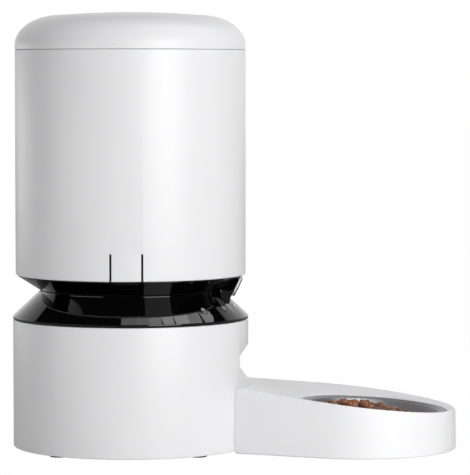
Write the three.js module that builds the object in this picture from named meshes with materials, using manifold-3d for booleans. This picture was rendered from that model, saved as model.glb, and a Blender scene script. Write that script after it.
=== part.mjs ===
// Camera pet feeder: a lidded food hopper on a base with a portioning drive, a camera, and a bowl in a tray.
// Millimetres, +Z up, +X towards the bowl. Pieces are placed from the feeder's own upright axis and
// the table, and the exported group then centres the whole object over its origin.

import * as THREE from 'three';
import { mergeVertices } from 'three/addons/utils/BufferGeometryUtils.js';
import Module from 'manifold-3d';

const wasm = await Module();
wasm.setup();

// Gaps, cuts and facets
const gap = 0.3;
const overrun = 2;
const roundSegments = 48;
const innerSegments = 32;
const mediumSegments = 24;
const smallSegments = 12;
const pinSegments = 8;
const pieSteps = 6;
const edgeStepShare = 0.3;

// Base shell
const baseRadius = 95;
const baseWall = 2.6;
const standHeight = 2.5;
const baseShellHeight = 102.7;
const baseEdgeRound = 1.2;

// Flat food outlet in the front of the base shell
const outletFlatInset = 6.9;
const outletFlatX = baseRadius - outletFlatInset;
const outletPlate = 2.6;
const outletHalfWidth = 21;
const outletFloorZ = 62.4;
const outletHeight = 15;
const recessRoofZ = 78;
const recessRoofRise = 7.1;
const recessFloorZ = 61.2;
const recessFloorDrop = 5.9;
const recessBorder = 5;

// Control ring, the lower black cone
const ringLipHeight = 2.1;
const ringHeight = 22.7;
const waistRadius = 73.8;
const ringWall = 2.2;
const ringShelfRadius = 60;
const ringSpigotDepth = 6.5;
const spigotWall = 2;

// Keys and status light in the control ring
const keyRadius = 4.3;
const keyRise = 0.4;
const keyFlangeWidth = 1;
const keyFlangeHeight = 1;
const keyStemRadius = 2;
const keyStemLength = 3;
const keyTravel = 0.8;
const keyPlaceShare = 0.552;
const keyAxisRadius = waistRadius + (baseRadius - waistRadius) * keyPlaceShare;
const keyAngles = { feed_key: -46, lock_key: -28.5 };
const lightRadius = 1.6;
const lightAngle = -12;
const lightRise = 0.2;
const keyBoardThickness = 1.2;
const keyBoardWidth = 12;
const keyBoardAngles = [-60, -6];
const keyBoardPostAngles = [-57, -20];
const keyBoardPostRadius = 2;

// Inner frame with the well that the portion chamber drops into
const wellClearance = 0.6;
const frameWall = 2;
const frameFloor = 2.5;
const frameFlange = 2.4;
const frameFlangeOverlap = 12;
const wellDepth = 26.7;
const postRadius = 5;
const postPlace = 48;

// Portion chamber, rotor and drive
const chamberRadius = 46;
const chamberWall = 2;
const chamberHeight = 29.6;
const portionPlateThickness = 2.5;
const sectorRim = 2;
const sectorHalfAngle = 27;
const rotorHubRadius = 12;
const rotorHeight = 22.8;
const rotorHubRise = 1.7;
const paddleThickness = 2.4;
const paddleCount = 6;
const rotorClearance = 1.5;
const runningGap = 0.6;
const wiperThickness = 2;
const wiperHalfAngle = 42;
const wiperInnerRadius = 14;
const tongueLength = 7;
const tongueWidth = 2.6;
const tongueHeight = 8.5;
const driveShaftRadius = 4;
const agitatorPostRadius = 4;
const agitatorHeight = 22;
const agitatorSpan = 30;
const agitatorBar = 3;

// Food chute
const chuteWall = 2;
const chuteFrontX = 49;
const chuteBackDrop = 6;
const chuteFrontDrop = 2.5;

// Gear train: module, teeth and faces
const outputModule = 1;
const outputTeeth = 24;
const idlerSmallTeeth = 12;
const inputModule = 0.75;
const idlerLargeTeeth = 36;
const pinionTeeth = 12;
const gearBacklashShare = 0.35;
const gearTipShare = 0.9;
const gearRootShare = 1.25;
const gearFlankShare = 0.8;
const gearCollarShare = 1.5;
const gearPressureAngle = 20;
const gearFace = 4.5;
const gearSpacing = 1.5;
const gearPinRadius = 1.5;
const gearboxWall = 2;
const gearboxFloor = 2;
const gearboxCoverThickness = 1.9;

// Motor
const motorRadius = 12;
const motorLength = 29;
const motorBossRadius = 4;
const motorShaftRadius = 1.2;
const motorCapHeight = 2;

// Base plate, battery bay and feet
const plateInset = 1;
const plateThickness = 2.5;
const cellRadius = 17.1;
const cellLength = 61.5;
const cellPitch = 36;
const cellCount = 3;
const cellNubRadius = 4.7;
const cellNubHeight = 1.5;
const bayWall = 2;
const bayEndRoom = 4.2;
const baySideRoom = 2.4;
const batteryCoverThickness = 2;
const contactThickness = 0.8;
const contactWidth = 12;
const tongueReach = 11;
const tongueHalfWidth = 6;
const footRadius = 7.2;
const footPlaceX = 55;
const footPlaceY = 57;

// Screws
const screwHeadRadius = 2.8;
const screwHeadHeight = 1.6;
const screwRadius = 1.4;
const screwLength = 9;

// Boards, speaker and power inlet
const boardThickness = 1.6;
const boardMargin = 3;
const chipHeight = 2;
const radioLength = 26;
const radioWidth = 18;
const chipLength = 12;
const connectorLength = 8;
const connectorHeight = 4;
const speakerRadius = 17;
const speakerHeight = 8;
const speakerRimHeight = 2;
const grilleHoleRadius = 1.4;
const grilleCircleRadius = 7;
const grilleHoleCount = 6;
const socketWidth = 9;
const socketHeight = 3.4;
const socketDepth = 8;
const socketWall = 0.5;
const socketCentreZ = 18;
const socketTongue = 0.7;
const powerBoardLength = 20;
const powerBoardWidth = 22;
const postPadding = 3;

// Camera at the waist: housing, bezel, panel and optics
const cameraTilt = 25.8;
const cameraInset = 8;
const cameraCentreZ = 132.2;
const housingHalfWidth = 28;
const housingDepth = 8.7;
const bezelLength = 46;
const bezelHeight = 16;
const bezelThickness = 1.1;
const panelThickness = 0.8;
const housingReach = 11.8;
const housingWall = 2.2;
const housingTopDrop = 1.4;
const barrelRadius = 5.4;
const barrelLength = 3.2;
const lensRadius = 4;
const lensRim = 0.6;
const lensDome = 0.5;
const lensEdgeShare = 0.7;
const lensEdgeDomeShare = 0.6;
const lampRadius = 1.5;
const lampPlace = 13;
const lampSpread = 5;
const cameraBoardHalfWidth = 21;
const cameraBoardHeight = 10;
const cameraBoardRise = 2;

// Hopper skirt, the upper black cone
const skirtHeight = 12.1;
const skirtBottomInset = 0.3;
const skirtTopInset = 0.8;
const skirtWall = 2.2;
const skirtFlangeRadius = 62;
const sleeveHeight = 27.4;
const sleeveWall = 2;
const skirtFrontHalfWidth = 29;

// Hopper
const hopperRadius = 92.8;
const hopperWall = 2.6;
const hopperHeight = 180.4;
const hopperEdgeRound = 1.4;
const funnelRimHeight = 4;
const funnelRimZ = 170.5;
const funnelWall = 2.2;

// Release tabs, one on each side
const tabHalfWidth = 11.5;
const tabSlotWidth = 1.7;
const tabHeight = 21.6;
const latchPlateHalfWidth = 14;
const latchPlateWall = 2;
const latchPlateInset = 0.5;
const latchToeHalfWidth = 10;
const latchToeDrop = 7.4;
const latchWindowMargin = 1.2;

// Lid
const lidHeight = 30.2;
const lidSideHeight = 3.7;
const lidShoulderRadius = 58;
const lidShoulderHeight = 24;
const lidWall = 2.4;
const lidSteps = 6;
const lidCrownShare = 0.75;
const linerThickness = 2.2;
const linerPlugDepth = 12;
const linerPlugClearance = 2.7;
const linerPlugWall = 2;
const sealHeight = 3;
const sealDrop = 6;
const packRadius = 26;
const packHeight = 9;
const packRoom = 1.5;
const packWall = 2;
const twistCoverThickness = 2.2;
const twistCoverLip = 1.5;
const twistSpigotHeight = 2.5;
const twistGripWidth = 3;
const twistGripHeight = 2.5;

// Tray
const trayCentreX = 184;
const trayRadius = 78.7;
const trayBackHalfWidth = 44;
const trayBottomZ = 0.5;
const trayBackRimZ = 52.9;
const trayFrontRimZ = 32;
const trayDraft = 0.7;
const trayEdgeRound = 2.6;
const trayRimWidth = 1.6;
const trayWall = 2.6;
const trayFloorZ = 4.2;
const trayFloorThickness = 2.2;
const trayHookWidth = 8;
const trayHookHeight = 8;
const trayHookZ = 9;
const trayHookPlace = 20;
const trayHookReach = 4;
const trayFootWidth = 6;
const trayFootPlace = 42;
const trayBackSteps = 8;
const traySideSteps = 4;
const trayFrontSteps = 28;

// Bowl
const bowlCentreX = 195.8;
const bowlRimZ = 34.6;
const bowlTilt = 3.8;
const bowlRadius = 58.3;
const bowlDepth = 27;
const bowlWall = 1;
const bowlRimWidth = 4.2;
const bowlRimDrop = 1.6;
const bowlFloorRadius = 38;
const bowlSeatClearance = 1.7;
const bowlWellClearance = 0.9;

// Heights worked out from the sizes above
const baseTopZ = standHeight + baseShellHeight;
const ringBottomZ = baseTopZ + gap;
const ringConeZ = ringBottomZ + ringLipHeight;
const waistZ = ringBottomZ + ringHeight;
const skirtBottomZ = waistZ + gap;
const hopperBottomZ = skirtBottomZ + skirtHeight + gap;
const hopperTopZ = hopperBottomZ + hopperHeight;
const lidBottomZ = hopperTopZ + gap;
const plateBottomZ = standHeight + plateInset;
const plateTopZ = plateBottomZ + plateThickness;
const ringShelfZ = waistZ - ringWall;
const frameTopZ = ringShelfZ - gap;

const degrees = Math.PI / 180;

// Materials
function finish(color, roughness, metalness = 0) {
  return new THREE.MeshStandardMaterial({ color, roughness, metalness });
}
const whitePlastic = finish('#f2f2f3', 0.32);
const liningPlastic = finish('#e4e5e6', 0.45);
const blackGloss = finish('#060607', 0.06);
const blackPlastic = finish('#1a1a1c', 0.5);
const greyTrim = finish('#b9bbbe', 0.35);
const rubber = finish('#3a3b3e', 0.85);
const steel = finish('#c9cacb', 0.25, 1);
const gearPlastic = finish('#e9e4d4', 0.45);
const boardGreen = finish('#1f5a3a', 0.55);
const cellJacket = finish('#8d8f93', 0.4);
const lensGlass = finish('#10141c', 0.03);
const lampGlow = finish('#dfe9ef', 0.3);
const desiccantCloth = finish('#f4f1e8', 0.9);

// From three.js geometry to solids and back
function solidFrom(geometry) {
  if (geometry.userData.solid) return geometry.userData.solid;
  const plain = geometry.clone();
  plain.deleteAttribute('normal');
  plain.deleteAttribute('uv');
  const merged = mergeVertices(plain);
  const corners = merged.attributes.position.array;
  const order = merged.index.array;
  const kept = [];
  let volume = 0;
  const at = (i) => new THREE.Vector3().fromArray(corners, 3 * i);
  for (let i = 0; i < order.length; i += 3) {
    const [a, b, c] = [order[i], order[i + 1], order[i + 2]];
    if (a === b || b === c || c === a) continue;
    kept.push(a, b, c);
    volume += at(a).dot(at(b).cross(at(c)));
  }
  if (volume < 0) kept.reverse();
  const mesh = new wasm.Mesh({
    numProp: 3,
    vertProperties: new Float32Array(corners),
    triVerts: new Uint32Array(kept),
  });
  return new wasm.Manifold(mesh);
}

function geometryFrom(solid) {
  const mesh = solid.getMesh();
  const geometry = new THREE.BufferGeometry();
  geometry.setAttribute('position', new THREE.BufferAttribute(mesh.vertProperties, 3));
  geometry.setIndex(new THREE.BufferAttribute(mesh.triVerts, 1));
  geometry.computeVertexNormals();
  geometry.userData.solid = solid;
  return geometry;
}

function join(...geometries) {
  return geometryFrom(geometries.map(solidFrom).reduce((all, next) => all.add(next)));
}

function cut(geometry, ...tools) {
  return geometryFrom(tools.map(solidFrom).reduce((rest, tool) => rest.subtract(tool), solidFrom(geometry)));
}

function common(geometry, tool) {
  return geometryFrom(solidFrom(geometry).intersect(solidFrom(tool)));
}

// Basic shapes, each as a three.js geometry in the feeder's frame
function lathe(profile, segments = roundSegments) {
  const points = [...profile, profile[0]].map(([r, z]) => new THREE.Vector2(r, z));
  return new THREE.LatheGeometry(points, segments).rotateX(Math.PI / 2);
}

function tube(innerRadius, outerRadius, fromZ, toZ, segments = roundSegments) {
  const profile = [[innerRadius, fromZ], [outerRadius, fromZ], [outerRadius, toZ], [innerRadius, toZ]];
  return lathe(profile, segments);
}

function cylinder(radius, fromZ, toZ, x = 0, y = 0, segments = smallSegments) {
  const shape = new THREE.CylinderGeometry(radius, radius, toZ - fromZ, segments);
  return shape.rotateX(Math.PI / 2).translate(x, y, (fromZ + toZ) / 2);
}

function sideSpan(side, near, far) {
  return side > 0 ? [near, far] : [-far, -near];
}

function box(fromX, toX, fromY, toY, fromZ, toZ) {
  const shape = new THREE.BoxGeometry(toX - fromX, toY - fromY, toZ - fromZ);
  return shape.translate((fromX + toX) / 2, (fromY + toY) / 2, (fromZ + toZ) / 2);
}

function upright(outline, fromZ, toZ) {
  const shape = new THREE.Shape(outline.map(([x, y]) => new THREE.Vector2(x, y)));
  const depth = toZ - fromZ;
  return new THREE.ExtrudeGeometry(shape, { depth, bevelEnabled: false }).translate(0, 0, fromZ);
}

function acrossY(outline, halfWidth) {
  const shape = new THREE.Shape(outline.map(([x, z]) => new THREE.Vector2(x, z)));
  const bar = new THREE.ExtrudeGeometry(shape, { depth: 2 * halfWidth, bevelEnabled: false });
  return bar.rotateX(Math.PI / 2).translate(0, halfWidth, 0);
}

function rings(loops) {
  const count = loops[0].length;
  const corners = loops.flat(2);
  const order = [];
  for (let k = 0; k + 1 < loops.length; k += 1) {
    for (let i = 0; i < count; i += 1) {
      const a = k * count + i;
      const b = k * count + (i + 1) % count;
      order.push(a, b, b + count, a, b + count, a + count);
    }
  }
  const flat = loops[0].map(([x, y]) => new THREE.Vector2(x, y));
  const top = (loops.length - 1) * count;
  for (const [a, b, c] of THREE.ShapeUtils.triangulateShape(flat, [])) {
    order.push(c, b, a);
    order.push(top + a, top + b, top + c);
  }
  const geometry = new THREE.BufferGeometry();
  geometry.setAttribute('position', new THREE.Float32BufferAttribute(corners, 3));
  geometry.setIndex(order);
  return geometry;
}

const feeder = new THREE.Group();

function piece(name, geometry, material, parent = feeder) {
  const mesh = new THREE.Mesh(geometryFrom(solidFrom(geometry)), material);
  mesh.name = name;
  parent.add(mesh);
}

// Screws stand with the head down and the shank up, and their holes keep the gap all round
function screw(x, y, headZ, margin = 0) {
  const headTopZ = headZ + screwHeadHeight + margin;
  const head = cylinder(screwHeadRadius + margin, headZ - margin, headTopZ, x, y, pinSegments);
  const shank = cylinder(screwRadius + margin, headZ, headZ + screwLength + margin, x, y, pinSegments);
  return join(head, shank);
}

function pie(fromAngle, toAngle, reach, fromZ, toZ) {
  const outline = [[0, 0]];
  for (let i = 0; i <= pieSteps; i += 1) {
    const angle = (fromAngle + (toAngle - fromAngle) * i / pieSteps) * degrees;
    outline.push([reach * Math.cos(angle), reach * Math.sin(angle)]);
  }
  return upright(outline, fromZ, toZ);
}

// Base shell, a round wall with a flat outlet recess in its front, slots for the tray's hooks and
// the power inlet
const innerBase = baseRadius - baseWall;
const outletTopZ = outletFloorZ + outletHeight;
const recessSlope = recessFloorDrop / (baseRadius - outletFlatX);
const recessRoofSlope = recessRoofRise / (baseRadius - outletFlatX);
const pastBase = baseRadius + overrun;
const hookFarY = trayHookPlace + trayHookWidth;
const hookTopZ = trayHookZ + trayHookHeight;

function baseShell() {
  const wall = lathe([
    [innerBase, standHeight],
    [baseRadius - baseEdgeRound, standHeight],
    [baseRadius, standHeight + baseEdgeRound],
    [baseRadius, baseTopZ],
    [innerBase, baseTopZ],
  ]);
  const blockFromZ = recessFloorZ - recessFloorDrop - recessBorder;
  const blockToZ = recessRoofZ + recessRoofRise + recessBorder;
  const blockHalfWidth = Math.sqrt(baseRadius ** 2 - outletFlatX ** 2);
  const backX = outletFlatX - outletPlate;
  const block = common(
    box(backX, baseRadius, -blockHalfWidth, blockHalfWidth, blockFromZ, blockToZ),
    tube(0, baseRadius - baseWall / 2, blockFromZ - overrun, blockToZ + overrun),
  );
  const recess = acrossY([
    [outletFlatX, recessFloorZ],
    [pastBase, recessFloorZ - (pastBase - outletFlatX) * recessSlope],
    [pastBase, recessRoofZ + (pastBase - outletFlatX) * recessRoofSlope],
    [outletFlatX, recessRoofZ],
  ], baseRadius);
  const outlet = box(backX - overrun, pastBase, -outletHalfWidth, outletHalfWidth, outletFloorZ, outletTopZ);
  const slots = [-1, 1].map((side) => {
    const [fromY, toY] = sideSpan(side, trayHookPlace - gap, hookFarY + gap);
    return box(outletFlatX - baseWall - trayHookReach, pastBase, fromY, toY, trayHookZ - gap, hookTopZ + gap);
  });
  const inletHalfWidth = socketWidth / 2 + gap;
  const inletHalfHeight = socketHeight / 2 + gap;
  const inlet = box(-pastBase, -innerBase + baseWall, -inletHalfWidth, inletHalfWidth,
    socketCentreZ - inletHalfHeight, socketCentreZ + inletHalfHeight);
  return cut(join(wall, block), recess, outlet, ...slots, inlet);
}
piece('base_shell', baseShell(), whitePlastic);

// Control ring, the lower black cone, whose spigot plugs into the base shell
const coneRun = baseRadius - waistRadius;
const coneRise = waistZ - ringConeZ;
const coneSlant = Math.hypot(coneRun, coneRise);
const coneOut = coneRise / coneSlant;
const coneUp = coneRun / coneSlant;

function conePlace(angle) {
  const outward = new THREE.Vector3(Math.cos(angle * degrees), Math.sin(angle * degrees), 0);
  const up = new THREE.Vector3(0, 0, 1);
  const normal = outward.clone().multiplyScalar(coneOut).addScaledVector(up, coneUp);
  const uphill = outward.clone().multiplyScalar(-coneUp).addScaledVector(up, coneOut);
  const across = uphill.clone().cross(normal);
  const height = ringConeZ + (baseRadius - keyAxisRadius) * coneRise / coneRun;
  return new THREE.Matrix4()
    .makeBasis(across, uphill, normal)
    .setPosition(outward.multiplyScalar(keyAxisRadius).addScaledVector(up, height));
}

const keyFlangeTop = -(ringWall + runningGap);
const keyFlangeBottom = keyFlangeTop - keyFlangeHeight;
const keyStemBottom = keyFlangeBottom - keyStemLength;
const keyBoardTop = keyStemBottom - keyTravel - gap;

const cameraCentreX = hopperRadius - cameraInset;
const housingBackX = cameraCentreX - housingReach;
const planeX = (z) => cameraCentreX + (z - cameraCentreZ) * Math.tan(cameraTilt * degrees);
const housingTopZ = hopperBottomZ - housingTopDrop;
const housingBottomZ = waistZ - housingDepth;

function housingOutline(margin) {
  const top = housingTopZ + margin;
  const bottom = housingBottomZ - margin;
  const back = housingBackX - margin;
  return [[planeX(bottom) + margin, bottom], [planeX(top) + margin, top], [back, top], [back, bottom]];
}

function controlRing() {
  const throughWall = ringWall / coneOut;
  const innerAt = (z) => baseRadius - (z - ringConeZ) * coneRun / coneRise - throughWall;
  const spigotOuter = innerBase - gap;
  const spigotInner = spigotOuter - spigotWall;
  const spigotTopZ = ringConeZ + (baseRadius - throughWall - spigotInner) * coneRise / coneRun;
  const spigotBottomZ = ringBottomZ - ringSpigotDepth;
  const ring = lathe([
    [baseRadius, ringBottomZ],
    [baseRadius, ringConeZ],
    [waistRadius, waistZ],
    [ringShelfRadius, waistZ],
    [ringShelfRadius, ringShelfZ],
    [innerAt(ringShelfZ), ringShelfZ],
    [spigotInner, spigotTopZ],
    [spigotInner, spigotBottomZ],
    [spigotOuter, spigotBottomZ],
    [spigotOuter, ringBottomZ],
  ]);
  const onCone = (angle, radius, fromZ, toZ, segments) => (
    cylinder(radius, fromZ, toZ, 0, 0, segments).applyMatrix4(conePlace(angle))
  );
  const posts = keyBoardPostAngles.map((angle) => (
    onCone(angle, keyBoardPostRadius, keyBoardTop + gap, -ringWall / 2, pinSegments)
  ));
  const holes = Object.values(keyAngles).map((angle) => (
    onCone(angle, keyRadius + gap, -ringWall * 2, overrun, smallSegments)
  ));
  holes.push(onCone(lightAngle, lightRadius + gap, -ringWall * 2, overrun, pinSegments));
  const window = acrossY(housingOutline(gap), housingHalfWidth + gap);
  return cut(join(ring, ...posts), ...holes, window);
}
piece('control_ring', controlRing(), blackGloss);

// Keys, status light and the curved board behind them
for (const [name, angle] of Object.entries(keyAngles)) {
  const place = new THREE.Group();
  place.applyMatrix4(conePlace(angle));
  feeder.add(place);
  piece(name, join(
    cylinder(keyRadius, keyFlangeBottom, keyRise),
    cylinder(keyRadius + keyFlangeWidth, keyFlangeBottom, keyFlangeTop),
    cylinder(keyStemRadius, keyStemBottom, keyFlangeTop),
  ), blackGloss, place);
}

const lightPlace = new THREE.Group();
lightPlace.applyMatrix4(conePlace(lightAngle));
feeder.add(lightPlace);
const lightPipe = cylinder(lightRadius, keyBoardTop + gap, lightRise, 0, 0, pinSegments);
piece('status_light', lightPipe, lampGlow, lightPlace);

function keyBoard() {
  const centreZ = ringConeZ + (baseRadius - keyAxisRadius) * coneRise / coneRun;
  const corner = (along, depth) => [
    keyAxisRadius - along * coneUp + depth * coneOut,
    centreZ + along * coneOut + depth * coneUp,
  ];
  const half = keyBoardWidth / 2;
  const bottom = keyBoardTop - keyBoardThickness;
  const band = lathe([
    corner(-half, bottom),
    corner(-half, keyBoardTop),
    corner(half, keyBoardTop),
    corner(half, bottom),
  ]);
  return common(band, pie(...keyBoardAngles, pastBase, 0, waistZ));
}
piece('key_board', keyBoard(), boardGreen);

// Inner frame: a well for the portion chamber, a flange under the ring's shelf and four posts down to
// the base plate
const wellRadius = chamberRadius + chamberWall + wellClearance;
const frameFloorTopZ = frameTopZ - wellDepth;
const frameFloorZ = frameFloorTopZ - frameFloor;
const portionPlateZ = frameFloorTopZ + runningGap;
const portionPlateTopZ = portionPlateZ + portionPlateThickness;
const gearboxRadius = inputModule * (idlerLargeTeeth / 2 + 1) + runningGap + gearboxWall;
const chuteBackX = gearboxRadius + runningGap;
const sectorInnerRadius = (chuteBackX + chuteWall) / Math.cos(sectorHalfAngle * degrees);
const sectorOuterRadius = chamberRadius - sectorRim;
const shaftHole = driveShaftRadius + runningGap;
const idlerX = -outputModule * (outputTeeth + idlerSmallTeeth) / 2;
const motorX = idlerX - inputModule * (idlerLargeTeeth + pinionTeeth) / 2;
const gearboxEarY = gearboxRadius + screwHeadRadius;
const gearboxScrewZ = frameFloorZ + frameFloor / 2 - screwLength;
const postPlaces = [[1, 1], [1, -1], [-1, 1], [-1, -1]].map(([x, y]) => [x * postPlace, y * postPlace]);

function foodSector(margin, fromZ, toZ) {
  const pieShape = pie(-sectorHalfAngle, sectorHalfAngle, sectorOuterRadius + margin, fromZ, toZ);
  const inside = cylinder(sectorInnerRadius - margin, fromZ - overrun, toZ + overrun, 0, 0, mediumSegments);
  return cut(pieShape, inside);
}

function innerFrame() {
  const outer = wellRadius + frameWall;
  const flangeRadius = ringShelfRadius + frameFlangeOverlap;
  const flangeZ = frameTopZ - frameFlange;
  const well = lathe([
    [0, frameFloorZ],
    [outer, frameFloorZ],
    [outer, flangeZ],
    [flangeRadius, flangeZ],
    [flangeRadius, frameTopZ],
    [wellRadius, frameTopZ],
    [wellRadius, frameFloorTopZ],
    [0, frameFloorTopZ],
  ], innerSegments);
  const postTopZ = flangeZ + frameFlange / 2;
  const posts = postPlaces.map(([x, y]) => cylinder(postRadius, plateTopZ + gap, postTopZ, x, y));
  const screws = postPlaces.map(([x, y]) => screw(x, y, plateBottomZ, gap));
  const gearboxScrews = [-1, 1].map((side) => screw(idlerX, side * gearboxEarY, gearboxScrewZ, gap));
  const inlet = foodSector(sectorRim / 2, frameFloorZ - overrun, frameFloorTopZ + overrun);
  const shaft = cylinder(shaftHole, frameFloorZ - overrun, frameFloorTopZ + overrun);
  return cut(join(well, ...posts), ...screws, ...gearboxScrews, inlet, shaft);
}
piece('inner_frame', innerFrame(), blackPlastic);

// Food chute, a sloping duct from the well's floor to the outlet in the base shell
function foodChute() {
  const inletZ = frameFloorZ - gap;
  const endX = outletFlatX - outletPlate - gap;
  const outer = acrossY([
    [chuteBackX, inletZ],
    [chuteFrontX, inletZ],
    [chuteFrontX, inletZ - chuteFrontDrop],
    [endX, outletTopZ + chuteWall],
    [endX, outletFloorZ - chuteWall],
    [chuteBackX, inletZ - chuteBackDrop - chuteWall],
  ], outletHalfWidth + chuteWall);
  const inner = acrossY([
    [chuteBackX + chuteWall, inletZ + overrun],
    [chuteFrontX - chuteWall, inletZ + overrun],
    [chuteFrontX - chuteWall, inletZ - chuteFrontDrop - chuteWall],
    [endX + overrun, outletTopZ],
    [endX + overrun, outletFloorZ],
    [chuteBackX + chuteWall, inletZ - chuteBackDrop],
  ], outletHalfWidth);
  return cut(outer, inner);
}
piece('food_chute', foodChute(), liningPlastic);

// Gear train under the well: output gear with its drive tongue, compound idler, motor pinion
const coverZ = frameFloorZ - gap - gearboxCoverThickness;
const upperFaceTopZ = coverZ - runningGap;
const upperFaceZ = upperFaceTopZ - gearFace;
const lowerFaceTopZ = upperFaceZ - gearSpacing;
const lowerFaceZ = lowerFaceTopZ - gearFace;
const gearboxFloorTopZ = lowerFaceZ - runningGap;
const gearboxFloorZ = gearboxFloorTopZ - gearboxFloor;
const motorTopZ = gearboxFloorZ - gap;
const pinHole = gearPinRadius + gap;

function gear(teeth, module, turn, fromZ, toZ) {
  const pitchRadius = teeth * module / 2;
  const tipRadius = pitchRadius + gearTipShare * module;
  const rootRadius = pitchRadius - gearRootShare * module;
  const halfTooth = (Math.PI / 2 - gearBacklashShare) * module / 2;
  const flank = Math.tan(gearPressureAngle * degrees);
  const tipAngle = (halfTooth - flank * gearTipShare * module) / tipRadius;
  const rootAngle = (halfTooth + flank * gearFlankShare * module) / rootRadius;
  const outline = [];
  for (let i = 0; i < teeth; i += 1) {
    const middle = 2 * Math.PI * (i + turn) / teeth;
    const tooth = [
      [rootRadius, -rootAngle],
      [tipRadius, -tipAngle],
      [tipRadius, tipAngle],
      [rootRadius, rootAngle],
    ];
    for (const [radius, side] of tooth) {
      outline.push([radius * Math.cos(middle + side), radius * Math.sin(middle + side)]);
    }
  }
  return upright(outline, fromZ, toZ);
}

const tongueZ = portionPlateTopZ + runningGap;

function tongue(margin, fromZ, toZ) {
  const halfLength = tongueLength / 2 + margin;
  const halfWidth = tongueWidth / 2 + margin;
  return box(-halfLength, halfLength, -halfWidth, halfWidth, fromZ, toZ);
}
piece('output_gear', join(
  gear(outputTeeth, outputModule, 0, upperFaceZ, upperFaceTopZ),
  cylinder(driveShaftRadius - runningGap, gearboxFloorZ + gap, upperFaceZ + gearFace / 2),
  cylinder(driveShaftRadius, upperFaceTopZ - gearFace / 2, tongueZ - gap),
  tongue(0, tongueZ - runningGap, tongueZ + tongueHeight),
), gearPlastic);

const idlerPlace = new THREE.Group();
idlerPlace.position.x = idlerX;
feeder.add(idlerPlace);
const idlerCollar = outputModule * (idlerSmallTeeth / 2 - gearCollarShare);
piece('idler_gear', cut(
  join(
    gear(idlerSmallTeeth, outputModule, 0.5, upperFaceZ, upperFaceTopZ),
    cylinder(idlerCollar, lowerFaceZ + gearFace / 2, upperFaceZ + gearFace / 2),
    gear(idlerLargeTeeth, inputModule, 0, lowerFaceZ, lowerFaceTopZ),
  ),
  cylinder(pinHole, lowerFaceZ - overrun, upperFaceTopZ + overrun),
), gearPlastic, idlerPlace);

const motorPlace = new THREE.Group();
motorPlace.position.x = motorX;
feeder.add(motorPlace);
const motorShaftDepth = motorBossRadius + overrun;
piece('motor_pinion', join(
  gear(pinionTeeth, inputModule, 0.5, lowerFaceZ, lowerFaceTopZ),
  cylinder(motorShaftRadius, motorTopZ - motorShaftDepth + gap, lowerFaceZ + gearFace / 2),
), steel, motorPlace);
piece('motor', cut(
  join(
    cylinder(motorRadius, motorTopZ - motorLength, motorTopZ, 0, 0, mediumSegments),
    cylinder(motorBossRadius, motorTopZ - motorLength - motorCapHeight, motorTopZ - motorLength + overrun),
  ),
  cylinder(motorShaftRadius + gap, motorTopZ - motorShaftDepth, motorTopZ + overrun),
), steel, motorPlace);

// Gearbox case with the idler's moulded pin, and its cover, screwed up to the frame's floor through two ears
function stadium(radius, fromZ, toZ) {
  const arc = [];
  const steps = mediumSegments / 2;
  for (let i = 0; i <= steps; i += 1) arc.push(-Math.PI / 2 + Math.PI * i / steps);
  const front = arc.map((angle) => [radius * Math.cos(angle), radius * Math.sin(angle)]);
  const back = arc.map((angle) => [motorX - radius * Math.cos(angle), -radius * Math.sin(angle)]);
  return upright([...front, ...back], fromZ, toZ);
}

function ears(fromZ, toZ) {
  const radius = screwHeadRadius + gearboxWall;
  return [-1, 1].map((side) => cylinder(radius, fromZ, toZ, idlerX, side * gearboxEarY));
}
const gearboxScrews = [-1, 1].map((side) => screw(idlerX, side * gearboxEarY, gearboxScrewZ));
const gearboxScrewHoles = [-1, 1].map((side) => screw(idlerX, side * gearboxEarY, gearboxScrewZ, gap));

piece('gearbox_case', cut(
  join(
    cut(
      stadium(gearboxRadius, gearboxFloorZ, coverZ - gap),
      stadium(gearboxRadius - gearboxWall, gearboxFloorTopZ, coverZ + overrun),
    ),
    ...ears(gearboxScrewZ, coverZ - gap).map((ear) => cut(
      ear,
      stadium(gearboxRadius - gearboxWall, gearboxFloorTopZ, coverZ + overrun),
    )),
    cylinder(gearPinRadius, gearboxFloorZ + gearboxFloor / 2, frameFloorZ - 2 * gap, idlerX, 0, pinSegments),
  ),
  ...gearboxScrewHoles,
  cylinder(driveShaftRadius - runningGap + gap, gearboxFloorZ - overrun, coverZ),
  cylinder(motorShaftRadius + runningGap, gearboxFloorZ - overrun, coverZ, motorX, 0),
), blackPlastic);

piece('gearbox_cover', cut(
  join(stadium(gearboxRadius, coverZ, frameFloorZ - gap), ...ears(coverZ, frameFloorZ - gap)),
  ...gearboxScrewHoles,
  cylinder(pinHole, coverZ - overrun, frameFloorZ, idlerX, 0),
  cylinder(shaftHole, coverZ - overrun, frameFloorZ),
), blackPlastic);

// Base plate with the battery bay, the speaker's rim and grille, and the rests for the power board
const bayHalfX = cellPitch * (cellCount - 1) / 2 + cellRadius + baySideRoom;
const bayHalfY = cellLength / 2 + bayEndRoom;
const batteryCoverTopZ = plateBottomZ + batteryCoverThickness;
const cellAxisZ = batteryCoverTopZ + gap + cellRadius;
const bayRoofZ = cellAxisZ + cellRadius + runningGap;
const bayTopZ = bayRoofZ + bayWall;
const powerBoardTopZ = socketCentreZ - socketHeight / 2 + socketWall / 2;
const powerBoardZ = powerBoardTopZ - boardThickness;
const powerBoardX = -innerBase + baseWall / 2;
const coverScrewX = bayHalfX + (bayWall + tongueReach) / 2;
const coverTabX = -(bayHalfX + bayWall);
const speakerPlaceY = (bayHalfY + bayWall + innerBase - gap) / 2;

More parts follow.
